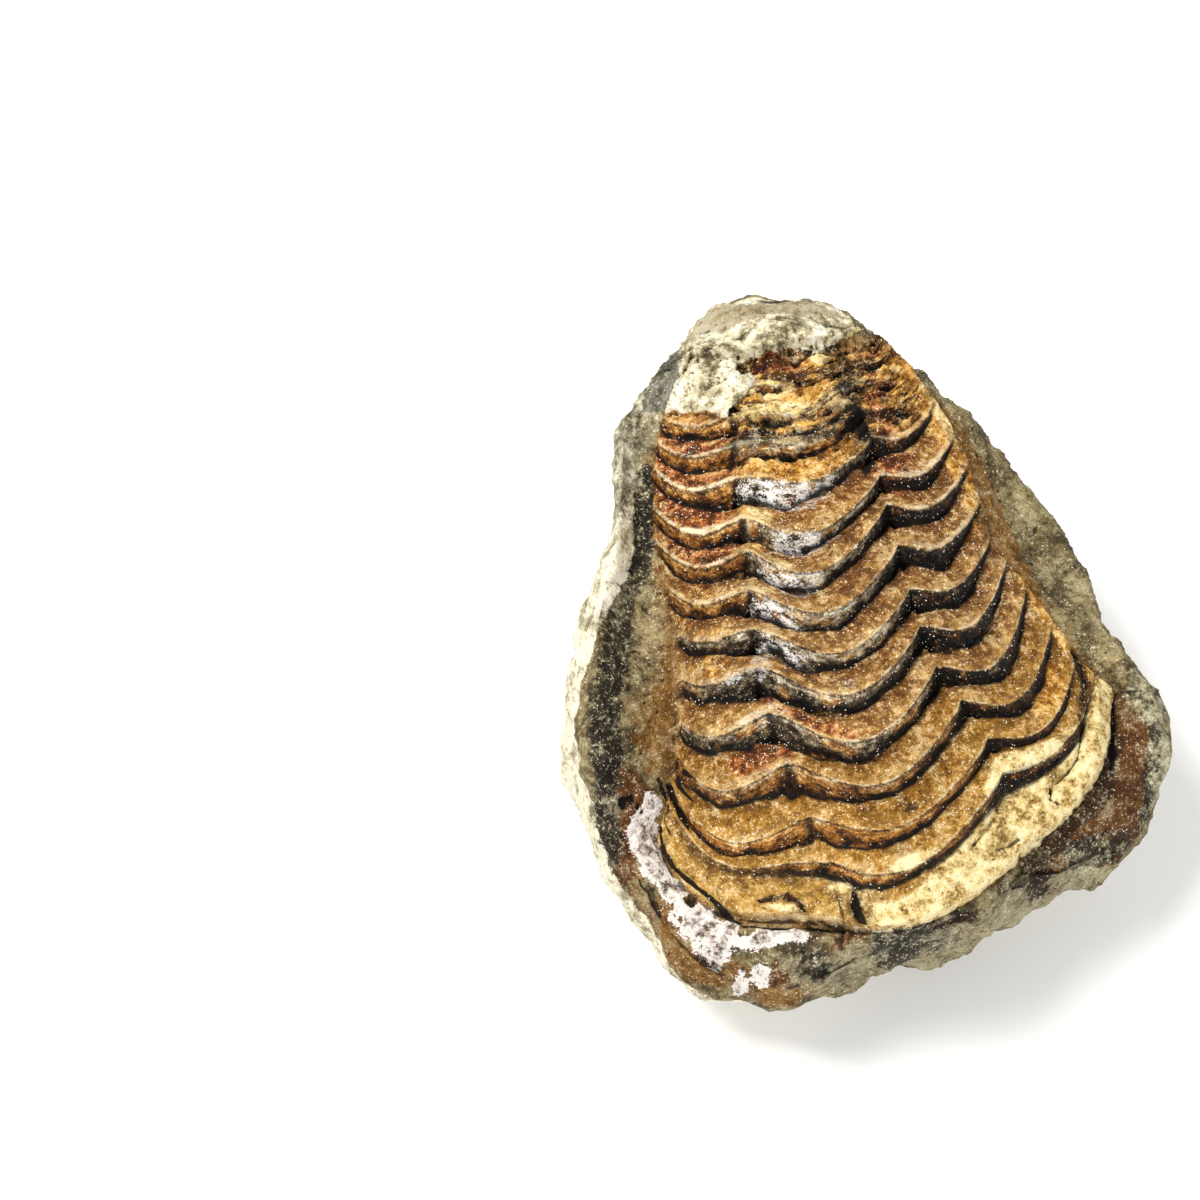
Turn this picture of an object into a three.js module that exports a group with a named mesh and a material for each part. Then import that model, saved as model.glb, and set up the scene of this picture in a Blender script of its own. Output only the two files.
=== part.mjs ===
// Fossil trilobite in one half of a split stone nodule.
//
// The fossil and its matrix are one natural piece, so the model is one closed solid:
//   - a rectangular patch carries the fossil: three lobes side by side, crossed by stepped ribs;
//   - rings of matrix join the patch to the fracture rim of the nodule half;
//   - the weathered rind swells below the rim and curves under to a small natural resting flat.
// Units are millimetres, +Z up, the tail end of the fossil toward +Y and its broken head end toward -Y.
import * as THREE from 'three';

// ---------------------------------------------------------------- driving dimensions

// The guide lines run along the animal. Each has a point on the rib lips at every second station,
// from station 0 at the head-side break to station 14 in the tail shield.
const STATIONS = 14;
const GUIDES = {
  leftTips: [
    [-23.5, -20, 18], [-22, -15, 20], [-21, -8.5, 22.5], [-21, 1, 24.5],
    [-23.5, 12, 25.5], [-23.5, 21, 26], [-22.5, 27, 27], [-19.5, 33, 28],
  ],
  leftPleura: [
    [-16.5, -30, 19.5], [-15, -23, 23.5], [-17, -12, 27], [-17.5, -2, 29],
    [-18.5, 6.5, 29.8], [-19, 16, 30], [-18.5, 24.5, 30], [-17, 32, 30],
  ],
  leftFurrow: [
    [-4, -30.5, 21.5], [-8, -21, 25.5], [-12, -10.5, 28.8], [-13.5, -1.5, 30.6],
    [-14, 7.5, 31.6], [-15, 16.5, 31.8], [-15, 24.5, 31.4], [-13, 32, 30.5],
  ],
  axis: [
    [1.5, -32, 23], [-0.5, -23.5, 28], [-4, -15, 31.5], [-6, -5.5, 33.4],
    [-8, 3.5, 34.4], [-8.5, 14.5, 34.6], [-8.5, 24, 33.8], [-7.5, 32.5, 32.4],
  ],
  rightFurrow: [
    [15, -23, 21.5], [11.5, -12, 25.5], [6, -5, 28.8], [3.5, 3.5, 30.6],
    [1.5, 13.5, 31.6], [0, 21.5, 31.8], [-1.5, 29, 31.4], [-2, 34.5, 30.5],
  ],
  rightPleura: [
    [23, -15, 20.5], [17.5, -10.5, 24.5], [12, -4.5, 27.8], [8, 4, 29.8],
    [6, 13.5, 30.8], [4, 22.5, 31], [2, 30, 30.6], [0, 35, 30],
  ],
  rightTips: [
    [27, -2, 17.5], [23, 1, 20], [17.5, 8, 23], [13.5, 12.5, 25.5],
    [11.5, 21.5, 27], [8, 29, 28], [5, 34, 28.3], [2, 37.5, 28.5],
  ],
};

// Each lobe lies between two guide lines and sags toward the head end through its middle one.
// A skew over 1 moves the lowest point of the arc toward the lobe's outer side.
const LOBES = [
  { from: 'leftTips', through: 'leftPleura', to: 'leftFurrow', skew: 1.3, lowSide: 'from', columns: 6 },
  { from: 'leftFurrow', through: 'axis', to: 'rightFurrow', skew: 1.35, lowSide: 'to', columns: 10 },
  { from: 'rightFurrow', through: 'rightPleura', to: 'rightTips', skew: 1.25, lowSide: 'to', columns: 9 },
];

// The stations of the rib lips: the ribs aren't quite evenly spaced.
const LIP_STATIONS = [0, 0.95, 2, 3, 4, 5.05, 6, 7, 8, 8.85, 10, 11, 12, 13, 14];
const SCARP_SHARE = 0.27;
const CREVICE_DEPTH = 0.3;
// How much lower the steps are at the right tips, which run together into one thin ridge.
const RIGHT_TIP_FADE = 0.7;
// Rows of each rib, as shares of the way from its lip to the next one toward the tail.
const ROWS_PER_RIB = [0, 0.1, 0.42, 1 - SCARP_SHARE, 1 - 0.55 * SCARP_SHARE];
// Height of the rib steps along the animal, at every second station.
const STEP_HEIGHT = [0.9, 1.6, 2.1, 2.2, 2.1, 1.8, 1, 0.6];
// Matrix laps over the left lobe of the tail shield from this station on, and stands above it.
// It thins out across the lobe between the inner and the outer share.
const CAP = { station: 11.9, blend: 0.8, inner: 0.45, outer: 1, height: 0.8 };

// The nodule's outline is polar about this centre, with a value every 15 degrees from +X.
const CENTRE = { x: -1, y: 3 };
const RIM_RADIUS = [
  29.2, 27, 26.6, 26.2, 28, 30.6, 36.6, 40.8, 37.6, 32.8, 29.6, 27.6,
  28.5, 30.3, 33.4, 36.4, 39.6, 40.4, 35.6, 34.4, 33, 34.4, 36, 34.6,
];
const RIM_HEIGHT = [
  17.5, 18.5, 20, 22, 24, 26, 27.5, 28, 27.5, 27.5, 27.8, 28,
  27.8, 27.5, 25.5, 19.5, 15.5, 14, 17.5, 20, 19.5, 16, 15.5, 16.5,
];
// How far the rind swells out beyond the rim, and the height of the widest line.
const SWELL = [
  1.2, 1.2, 1.4, 1.6, 2.2, 3, 4, 4.2, 3.6, 1.8, 1.6, 2.6,
  3.7, 4.2, 3.2, 1.8, 1.6, 1.6, 1.2, 1.2, 1.2, 1.4, 1.5, 1.4,
];
const WIDEST_HEIGHT = [
  12, 13, 14, 15, 16, 17, 17.5, 18, 18, 17.5, 17, 15.5,
  14.5, 13.5, 12.5, 11.5, 10.5, 10, 10.5, 11, 11, 11, 11.5, 12,
];
// Drop of the matrix at the foot of the fossil's edge: negative where it laps over the tail.
const EDGE_DROP = [
  1.6, 1.2, 0.9, 0.8, 0.8, 0.6, -0.4, -1.4, -1.2, 0.6, 1.6, 2,
  2, 1.8, 1.4, 1.6, 2, 2.2, 2.2, 2.2, 2, 1.8, 2.2, 2.4,
];
// Bulge (+) or hollow (-) of the matrix between the fossil's edge and the rim.
const MATRIX_BULGE = [
  0.8, -0.4, -0.8, -0.8, -0.6, 0, 0.6, 1, 0.6, -0.4, -1.2, -1.6,
  -1.8, -1.6, -0.6, 0.8, 1.4, 1.4, 1.2, 0.6, 0.4, 0.8, 1.6, 2,
];
const FLAT_SHARE = 0.42;
// The ribs die out into the matrix over this share of the way to the rim.
const RIB_FADE = 0.22;

// Local lumps and hollows of the face: place, radius and height.
const FEATURES = [
  { name: 'notch in the head-side border', x: -3, y: -30.5, radius: 2.2, height: -1.8 },
  { name: 'crescent ledge below the border', x: -9.5, y: -31.5, radius: 2.6, height: 0.9 },
  { name: 'rubble right of the border', x: 18, y: -25, radius: 4, height: -1.4 },
  { name: 'knob over the tail', x: -4.5, y: 27, radius: 2, height: 0.8 },
  { name: 'matrix lump over the left of the tail', x: -19.5, y: 33.5, radius: 5, height: 1.6 },
  { name: 'matrix lump at the far end', x: -11, y: 39, radius: 5, height: 1 },
  { name: 'pit in the lower ribs', x: 2.5, y: -20, radius: 1.2, height: -0.6 },
  { name: 'cheek beside the lower ribs', x: 27, y: -13, radius: 6, height: 1.2 },
];

// Long, low waves that make the stone uneven: height, then waves per millimetre along x, y and z.
const WAVES = [
  [0.42, 0.31, 0.17, 0.22, 0.4],
  [0.36, -0.21, 0.37, 0.12, 2.1],
  [0.28, 0.53, -0.29, 0.41, 4.4],
  [0.22, 0.44, 0.61, -0.37, 1.3],
  [0.16, -0.83, 0.52, 0.68, 5.2],
  [0.12, 0.97, 0.88, 0.79, 3.3],
];
// Moves the middle of the bounding box to the origin.
const PLAN_SHIFT = { x: 0.5, y: -4.41 };

const MATRIX_RINGS = [0.08, 0.25, 0.46, 0.66, 0.85, 1];
const RIM_RINGS = 2;
const UNDERSIDE_RINGS = 5;

// ---------------------------------------------------------------- shape of the fossil

const guideCurves = {};
for (const [name, points] of Object.entries(GUIDES)) {
  const vectors = points.map((point) => new THREE.Vector3(...point));
  guideCurves[name] = new THREE.CatmullRomCurve3(vectors, false, 'catmullrom', 0.5);
}
const stepCurve = new THREE.CatmullRomCurve3(
  STEP_HEIGHT.map((height) => new THREE.Vector3(height, 0, 0)), false, 'catmullrom', 0.5,
);

function guidePoint(name, station) {
  return guideCurves[name].getPoint(station / STATIONS);
}

// Rises from 0 at both ends to 1 in the middle of the lobe, with its fullest part moved by the skew.
function sag(across, skew) {
  return (Math.sin(Math.PI * across ** skew) / Math.sin(Math.PI * 0.5 ** skew)) ** 0.8;
}

// The surface through the rib lips, at a share across one lobe.
function lipSurface(lobe, across, station) {
  const from = guidePoint(lobe.from, station);
  const through = guidePoint(lobe.through, station);
  const to = guidePoint(lobe.to, station);
  const depth = lobe.lowSide === 'to' ? sag(across, lobe.skew) : sag(1 - across, lobe.skew);
  const arch = (4 * across * (1 - across)) ** 0.65;
  const point = from.clone().lerp(to, across);
  const middle = from.clone().lerp(to, 0.5);
  point.x += (through.x - middle.x) * 4 * across * (1 - across);
  point.y += (through.y - middle.y) * depth;
  point.z += (through.z - middle.z) * arch;
  return point;
}

// Depth below the lip surface, as a share of the step height: a plate falls away behind each lip
// to a crevice, and a rounded scarp rises from the crevice to the next lip.
function ribDepth(share) {
  const foot = 1 - SCARP_SHARE;
  if (share <= foot) {
    return (share / foot) ** 1.15 + CREVICE_DEPTH * (share / foot) ** 12;
  }
  const rise = (share - foot) / SCARP_SHARE;
  return (1 + CREVICE_DEPTH) * (1 - Math.sin(rise * Math.PI / 2));
}

// 1 where the matrix laps over the tail, 0 where the ribs are bare.
function capCover(lobe, across, station) {
  if (lobe.from !== 'leftTips') {
    return 0;
  }
  const along = THREE.MathUtils.smoothstep(station, CAP.station, CAP.station + CAP.blend);
  return along * (1 - THREE.MathUtils.smoothstep(across, CAP.inner, CAP.outer));
}

function fossilPoint(lobe, across, station, share) {
  const point = lipSurface(lobe, across, station);
  const fade = lobe.to === 'rightTips' ? 1 - RIGHT_TIP_FADE * across ** 3 : 1;
  const step = stepCurve.getPoint(station / STATIONS).x * fade;
  const cover = capCover(lobe, across, station);
  point.z += CAP.height * cover - step * ribDepth(share) * (1 - cover);
  return point;
}

// ---------------------------------------------------------------- shape of the nodule

// Smooth value round the outline, from the values every 15 degrees.
function roundTheOutline(values, angle) {
  const count = values.length;
  const turn = ((angle / (2 * Math.PI)) * count + count) % count;
  const index = Math.floor(turn);
  const t = turn - index;
  const before = values[(index + count - 1) % count];
  const start = values[index % count];
  const end = values[(index + 1) % count];
  const after = values[(index + 2) % count];
  const slope = (end - before) / 2;
  const nextSlope = (after - start) / 2;
  const cubic = 2 * start - 2 * end + slope + nextSlope;
  const square = -3 * start + 3 * end - 2 * slope - nextSlope;
  return ((cubic * t + square) * t + slope) * t + start;
}

function polarPoint(angle, radius, height) {
  return new THREE.Vector3(
    CENTRE.x + radius * Math.cos(angle), CENTRE.y + radius * Math.sin(angle), height,
  );
}

function angleOf(point) {
  return Math.atan2(point.y - CENTRE.y, point.x - CENTRE.x);
}

// Matrix from the fossil's edge (share 0) to the fracture rim (share 1). The lip is the same edge
// point on the surface through the rib lips, so the ribs can die out toward the rim.
function matrixPoint(edge, lip, share) {
  const angle = angleOf(edge);
  const rim = polarPoint(angle, roundTheOutline(RIM_RADIUS, angle), roundTheOutline(RIM_HEIGHT, angle));
  const point = lip.clone().lerp(rim, share);
  const drop = roundTheOutline(EDGE_DROP, angle) * (1 - share) * Math.min(1, share / MATRIX_RINGS[0]);
  const bulge = roundTheOutline(MATRIX_BULGE, angle) * 4 * share * (1 - share);
  const ribs = (edge.z - lip.z) * Math.max(0, 1 - share / RIB_FADE);
  point.z += bulge - drop + ribs;
  return point;
}

// Rind from the rim (share 0) out to the widest line (share 1).
function swellPoint(angle, share) {
  const turn = share * Math.PI / 2;
  const widest = roundTheOutline(WIDEST_HEIGHT, angle);
  const radius = roundTheOutline(RIM_RADIUS, angle) + roundTheOutline(SWELL, angle) * Math.sin(turn);
  const height = widest + (roundTheOutline(RIM_HEIGHT, angle) - widest) * Math.cos(turn);
  return polarPoint(angle, radius, height);
}

// Rind from the widest line (share 0) under to the edge of the resting flat (share 1).
function undersidePoint(angle, share) {
  const turn = share * Math.PI / 2;
  const widest = roundTheOutline(RIM_RADIUS, angle) + roundTheOutline(SWELL, angle);
  const radius = widest * (FLAT_SHARE + (1 - FLAT_SHARE) * Math.cos(turn));
  const height = roundTheOutline(WIDEST_HEIGHT, angle) * (1 - Math.sin(turn));
  return polarPoint(angle, radius, height);
}

// ---------------------------------------------------------------- unevenness

function unevenness(point) {
  let sum = 0;
  for (const [height, alongX, alongY, alongZ, phase] of WAVES) {
    sum += height * Math.sin(alongX * point.x + alongY * point.y + alongZ * point.z + phase);
  }
  return sum;
}

function featureHeight(point) {
  let sum = 0;
  for (const feature of FEATURES) {
    const distance = Math.hypot(point.x - feature.x, point.y - feature.y) / feature.radius;
    sum += feature.height * Math.exp(-(distance ** 2));
  }
  return sum;
}

// Lifts a point of the upper face by its share of the stone's unevenness and its local features.
function roughenFace(point, share) {
  point.z += featureHeight(point) + share * unevenness(point);
  return point;
}

// Pushes a point of the rind outward by the unevenness.
function roughenRind(point, share) {
  const push = share * unevenness(point);
  const angle = angleOf(point);
  point.x += push * Math.cos(angle);
  point.y += push * Math.sin(angle);
  return point;
}

// ---------------------------------------------------------------- mesh

const positions = [];
const triangles = [];

function addVertex(point) {
  positions.push(point.x + PLAN_SHIFT.x, point.y + PLAN_SHIFT.y, point.z);
  return positions.length / 3 - 1;
}

// Columns of the fossil patch: a lobe and a share across it.
function patchColumns() {
  const columns = [];
  for (const lobe of LOBES) {
    for (let i = 0; i < lobe.columns; i += 1) {
      columns.push({ lobe, across: i / lobe.columns });
    }
  }
  columns.push({ lobe: LOBES[LOBES.length - 1], across: 1 });
  return columns;
}

// Rows of the fossil patch: a station and a share of the way from one lip to the next.
function patchRows() {
  const rows = [];
  for (let rib = 0; rib < LIP_STATIONS.length - 1; rib += 1) {
    for (const share of ROWS_PER_RIB) {
      const station = LIP_STATIONS[rib] + share * (LIP_STATIONS[rib + 1] - LIP_STATIONS[rib]);
      rows.push({ station, share });
    }
  }
  rows.push({ station: STATIONS, share: 0 });
  return rows;
}

// A grid of points over the patch, given by the function for each column and row.
function patchGrid(pointAt) {
  const columns = patchColumns();
  return patchRows().map((row) => columns.map((column) => pointAt(column, row)));
}

// Joins two rows or loops of vertices with equal counts, the second on the outer side.
function stitch(inner, outer, closed) {
  const last = closed ? inner.length : inner.length - 1;
  for (let i = 0; i < last; i += 1) {
    const next = (i + 1) % inner.length;
    triangles.push([inner[i], outer[i], outer[next]]);
    triangles.push([inner[i], outer[next], inner[next]]);
  }
}

// The border of a grid, anticlockwise seen from above.
function borderOf(grid) {
  const top = grid.length - 1;
  const right = grid[0].length - 1;
  const border = [];
  for (let column = 0; column < right; column += 1) {
    border.push(grid[0][column]);
  }
  for (let row = 0; row < top; row += 1) {
    border.push(grid[row][right]);
  }
  for (let column = right; column > 0; column -= 1) {
    border.push(grid[top][column]);
  }
  for (let row = top; row > 0; row -= 1) {
    border.push(grid[row][0]);
  }
  return border;
}

function buildNodule() {
  const grid = patchGrid((column, row) => fossilPoint(column.lobe, column.across, row.station, row.share));
  const lips = borderOf(patchGrid((column, row) => lipSurface(column.lobe, column.across, row.station)));
  const patch = grid.map((row) => row.map((point) => addVertex(roughenFace(point.clone(), 0.25))));
  for (let row = 0; row < patch.length - 1; row += 1) {
    stitch(patch[row + 1], patch[row], false);
  }
  const edges = borderOf(grid);
  let loop = borderOf(patch);
  const addLoop = (points) => {
    const outer = points.map(addVertex);
    stitch(loop, outer, true);
    loop = outer;
  };
  for (const share of MATRIX_RINGS) {
    addLoop(edges.map((edge, i) => roughenFace(matrixPoint(edge, lips[i], share), 0.25 + 0.75 * share)));
  }
  const angles = edges.map(angleOf);
  for (let ring = 1; ring <= RIM_RINGS; ring += 1) {
    addLoop(angles.map((angle) => roughenRind(swellPoint(angle, ring / RIM_RINGS), 1)));
  }
  for (let ring = 1; ring <= UNDERSIDE_RINGS; ring += 1) {
    const share = ring / UNDERSIDE_RINGS;
    addLoop(angles.map((angle) => roughenRind(undersidePoint(angle, share), 1 - share)));
  }
  return loop;
}

// Closes the bottom with the flat that the nodule rests on.
function closeFlat(loop) {
  const contour = loop.map((index) => new THREE.Vector2(positions[3 * index], positions[3 * index + 1]));
  for (const [a, b, c] of THREE.ShapeUtils.triangulateShape(contour, [])) {
    triangles.push([loop[a], loop[c], loop[b]]);
  }
}

closeFlat(buildNodule());

const geometry = new THREE.BufferGeometry();
geometry.setAttribute('position', new THREE.Float32BufferAttribute(positions, 3));
geometry.setIndex(triangles.flat());
geometry.computeVertexNormals();

const stone = new THREE.MeshStandardMaterial({ color: 0x8a6a3c, roughness: 0.8, metalness: 0 });
const nodule = new THREE.Mesh(geometry, stone);
nodule.name = 'trilobite_nodule_half';

const specimen = new THREE.Group();
specimen.name = 'fossil_trilobite';
specimen.add(nodule);

export default specimen;
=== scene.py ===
"""Fossil trilobite in one half of a split stone nodule.

Laid out as an add-on: the panel's operators build the specimen, its loose crystal grains and the
stage, in that order. Sizes in the property groups are metres; the shape tables are millimetres.
"""
import math

import bpy
import numpy as np
from bpy.props import FloatProperty, FloatVectorProperty, IntProperty, PointerProperty
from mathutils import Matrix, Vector


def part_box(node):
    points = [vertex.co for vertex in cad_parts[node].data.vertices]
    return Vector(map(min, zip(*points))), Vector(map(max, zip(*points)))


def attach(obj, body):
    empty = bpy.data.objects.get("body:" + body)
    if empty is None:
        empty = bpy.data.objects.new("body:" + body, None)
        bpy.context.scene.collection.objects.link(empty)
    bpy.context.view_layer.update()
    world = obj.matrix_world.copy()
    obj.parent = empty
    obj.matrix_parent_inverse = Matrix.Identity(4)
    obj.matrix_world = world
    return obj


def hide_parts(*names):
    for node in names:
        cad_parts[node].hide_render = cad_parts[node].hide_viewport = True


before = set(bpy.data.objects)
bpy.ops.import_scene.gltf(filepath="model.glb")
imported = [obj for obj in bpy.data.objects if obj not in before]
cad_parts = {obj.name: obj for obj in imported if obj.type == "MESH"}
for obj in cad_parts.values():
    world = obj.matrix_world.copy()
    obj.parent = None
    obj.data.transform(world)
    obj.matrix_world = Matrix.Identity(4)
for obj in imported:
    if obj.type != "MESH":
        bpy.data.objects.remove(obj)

bl_info = {
    "name": "Fossil trilobite",
    "version": (1, 0, 0),
    "blender": (4, 5, 0),
    "location": "3D View > Sidebar > Fossil",
    "description": "Builds a trilobite in half a stone nodule, with its grains and a stage",
    "category": "Add Mesh",
}

NODE = "trilobite_nodule_half"
STONE_PIECE = "trilobite_in_matrix"
BODY = "root"
MM = 0.001
# The stage, in metres: the floor's half width, the point that the soft lights aim at, and the place,
# side and colour of each.
FLOOR_HALF = 1.5
LIGHTS_AIM = (0, 0, 0.02)
LIGHTS = {
    "key": ((-0.32, 0.12, 0.55), 0.25, (1.0, 0.98, 0.95)),
    "fill": ((0.22, -0.5, 0.42), 0.5, (0.97, 0.98, 1.0)),
}
SENSOR_WIDTH_MM = 36

# ------------------------------------------------------------------ shape tables, in millimetres

# Guide lines along the animal, with a point on the rib lips at every second station, from station 0
# at the head-side break to station 14 in the tail shield.
STATIONS = 14
GUIDES = {
    "left_tips": (
        (-23.5, -20, 18), (-22, -15, 20), (-21, -8.5, 22.5), (-21, 1, 24.5),
        (-23.5, 12, 25.5), (-23.5, 21, 26), (-22.5, 27, 27), (-19.5, 33, 28)),
    "left_pleura": (
        (-16.3, -28.9, 19.7), (-15, -23, 23.5), (-17, -12, 27), (-17.5, -2, 29),
        (-18.5, 6.5, 29.8), (-19, 16, 30), (-18.5, 24.5, 30), (-17, 32, 30)),
    "left_furrow": (
        (-4, -30.5, 21.5), (-8, -21, 25.5), (-12, -10.5, 28.8), (-13.5, -1.5, 30.6),
        (-14, 7.5, 31.6), (-15, 16.5, 31.8), (-15, 24.5, 31.4), (-13, 32, 30.5)),
    "axis": (
        (1.5, -32, 23), (-0.5, -23.5, 28), (-4, -15, 31.5), (-6, -5.5, 33.4),
        (-8, 3.5, 34.4), (-8.5, 14.5, 34.6), (-8.5, 24, 33.8), (-7.5, 32.5, 32.4)),
    "right_furrow": (
        (15, -23, 21.5), (11.5, -12, 25.5), (6, -5, 28.8), (3.5, 3.5, 30.6),
        (1.5, 13.5, 31.6), (0, 21.5, 31.8), (-1.5, 29, 31.4), (-2, 34.5, 30.5)),
    "right_pleura": (
        (23, -15, 20.5), (17.5, -10.5, 24.5), (12, -4.5, 27.8), (8, 4, 29.8),
        (6, 13.5, 30.8), (4, 22.5, 31), (2, 30, 30.6), (0, 35, 30)),
    "right_tips": (
        (27, -2, 17.5), (23, 1, 20), (17.5, 8, 23), (13.5, 12.5, 25.5),
        (11.5, 21.5, 27), (8, 29, 28), (5, 34, 28.3), (2, 37.5, 28.5)),
}

# Each lobe: its guide lines from left to right, the skew of its arcs, whether their low point is on
# the right, and its share of the mesh columns.
LOBES = (
    ("left_tips", "left_pleura", "left_furrow", 1.3, False, 0.25),
    ("left_furrow", "axis", "right_furrow", 1.35, True, 0.4),
    ("right_furrow", "right_pleura", "right_tips", 1.25, True, 0.35),
)
LIP_STATIONS = (0, 0.95, 2, 3, 4, 5.05, 6, 7, 8, 8.85, 10, 11, 12, 13, 14)
# How far the first lip behind the break lies toward the tail of its station, across the lobes.
FIRST_LIP_SHIFT = ((0, 0.45), (0.8, 0.35), (1, 0.15), (1.6, 0.12), (2, 0.35), (2.6, 0.35), (3, 0.1))

# A row for each lip from the second on: the height of its step in the left, middle and right lobe,
# then the share of the rib that its scarp takes in each.
RIBS = (
    (0.4, 0.7, 0.8, 0.14, 0.17, 0.2), (1.1, 1.1, 0.9, 0.42, 0.28, 0.18),
    (1.2, 1.3, 1.5, 0.32, 0.27, 0.24), (1.6, 2.0, 1.9, 0.28, 0.29, 0.28),
    (1.7, 2.0, 2.0, 0.25, 0.26, 0.3), (1.7, 2.1, 2.1, 0.25, 0.26, 0.3),
    (1.7, 2.1, 2.0, 0.25, 0.26, 0.26), (1.5, 2.0, 1.8, 0.25, 0.26, 0.22),
    (1.5, 2, 1.5, 0.26, 0.27, 0.2), (1.6, 2.1, 1.3, 0.26, 0.3, 0.18),
    (1.6, 1.5, 1.2, 0.28, 0.28, 0.2), (1.5, 1.1, 0.9, 0.28, 0.25, 0.22),
    (1.2, 0.9, 0.7, 0.28, 0.25, 0.25), (0.8, 0.6, 0.5, 0.25, 0.25, 0.25),
)
# How the steps and the scarps vary across the lobes, from 0 at the left tips to 3 at the right.
STEP_ACROSS = (
    (0, 0.35), (0.1, 0.6), (0.3, 0.75), (0.7, 0.95), (1, 1.1), (1.15, 1.15), (1.5, 0.95), (1.75, 0.7),
    (1.92, 0.7), (2.06, 1.05), (2.35, 0.75), (2.65, 0.85), (2.85, 0.55), (3, 0.15))
SCARP_ACROSS = (
    (0, 1.1), (0.12, 1.1), (0.5, 0.8), (0.95, 1.45), (1.1, 1.35), (1.4, 1.15), (1.7, 0.75), (1.9, 0.7),
    (2.06, 1.2), (2.3, 0.9), (2.55, 1.05), (2.75, 0.85), (2.88, 0.45), (3, 0.2))
# Pits in the furrows at the foot of each scarp: place across, radius across and depth; then their
# radius along, as a share of a rib.
CUSP_PITS = ((1.0, 0.05, 1.1), (2.0, 0.09, 1.0))
CUSP_LENGTH = 0.14
# Rounds of smoothing that round off the furrows.
FURROW_SMOOTHING = 5
# Powers that fill out the arc and the crown of a lobe: the lower, the fuller.
SAG_FULLNESS = 0.8
CROWN_FULLNESS = 0.65

# The nodule is polar about this centre, with a value every 15 degrees from +X: the rim's radius and
# height, how far the rind swells past the rim and how high its widest line lies, how far the matrix
# drops beside the fossil, and how far it bulges between the fossil and the rim.
CENTRE = np.array((-1.0, 3.0))
RIM_RADIUS = (
    29.2, 27, 26.6, 26.2, 28, 30.6, 36.8, 41.2, 38.8, 35.6, 30.6, 27.8,
    28.5, 30.3, 33.4, 36.4, 40, 40.4, 35.8, 34.4, 33, 34.6, 36.4, 35.2)
RIM_HEIGHT = (
    17.5, 18.5, 20, 22, 24, 26, 27.5, 28, 27.5, 27.5, 27.8, 28,
    27.8, 27.5, 25.5, 19.5, 15.5, 14, 17.5, 20, 19.5, 16, 15.5, 16.5)
SWELL = (
    1.2, 1.2, 1.4, 1.6, 2.2, 3, 4, 4, 2.4, 1.2, 1.6, 2.6,
    3.1, 4.0, 3.2, 1.8, 1.6, 1.6, 1.2, 1.2, 1.2, 1.4, 1.5, 1.4)
WIDEST_HEIGHT = (
    12, 13, 14, 15, 16, 17, 17.5, 18, 18, 17.5, 17, 15.5,
    14.5, 13.5, 12.5, 11.5, 10.5, 10, 10.5, 11, 11, 11, 11.5, 12)
EDGE_DROP = (
    1.6, 1.2, 0.9, 0.8, 0.8, 0.6, -0.4, -1.4, -1.2, 0.4, 0.6, 0.6,
    0.5, 0.5, 0.7, 1.2, 1.8, 2.2, 2.2, 2.2, 2, 1.8, 2.2, 2.4)
MATRIX_BULGE = (
    0.8, -0.4, -0.8, -0.8, -0.6, 0, 0.6, 1, 0.6, -0.4, -1.2, -1.6,
    -1.8, -1.6, -0.6, 0.8, 1.4, 1.4, 1.2, 0.6, 0.4, 0.8, 1.6, 2)
# Where the pale rind begins, every 30 degrees: -1 at the fossil, 0 at the rim, 1 at the widest line;
# then half the width of its edge.
RIND_FROM = (1.1, 1, 0.9, 0.6, 0.1, -0.42, -0.08, 0.5, 0.95, 1.4, 1.4, 1.3)
RIND_EDGE = 0.1
# The resting flat's radius, as a share of the widest line's.
FLAT_SHARE = 0.42
# The edge drop is complete, and the ribs have died out, at these shares of the way to the rim.
FIRST_RING = 0.08
RIB_FADE = 0.12
# How much closer together the matrix rings lie near the fossil, and how soon the weathering stops
# round the resting flat.
CROWDING = 1.6
FLAT_CALM = 3

# Lumps and hollows of the face: place in plan, radius and height.
FEATURES = (
    (-3, -30.5, 2.2, -1.8), (-9.5, -31.5, 2.6, 0.9), (18, -25, 4, -1.4), (-4.5, 27, 2, 0.8),
    (-19.5, 33.5, 5, 1.6), (-11, 39, 5, 1), (2.5, -20, 1.2, -0.6), (27, -13, 6, 1.2),
    (8.2, -23.3, 0.9, 0.4), (-3.4, 25.3, 1.3, 1.1), (-5.3, 31.6, 0.9, 0.6), (-20.2, -27.6, 0.6, -0.3),
)
# Long, low waves: height, then radians to a millimetre along x, y and z, and phase.
WAVES = (
    (0.42, 0.31, 0.17, 0.22, 0.4), (0.36, -0.21, 0.37, 0.12, 2.1), (0.28, 0.53, -0.29, 0.41, 4.4),
    (0.22, 0.44, 0.61, -0.37, 1.3), (0.16, -0.83, 0.52, 0.68, 5.2), (0.12, 0.97, 0.88, 0.79, 3.3),
)
# Share of the waves that the fossil itself follows.
FOSSIL_WAVES = 0.25
# Moves the middle of the bounding box to the origin.
PLAN_SHIFT = np.array((0.5, -4.41, 0.0))

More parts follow.
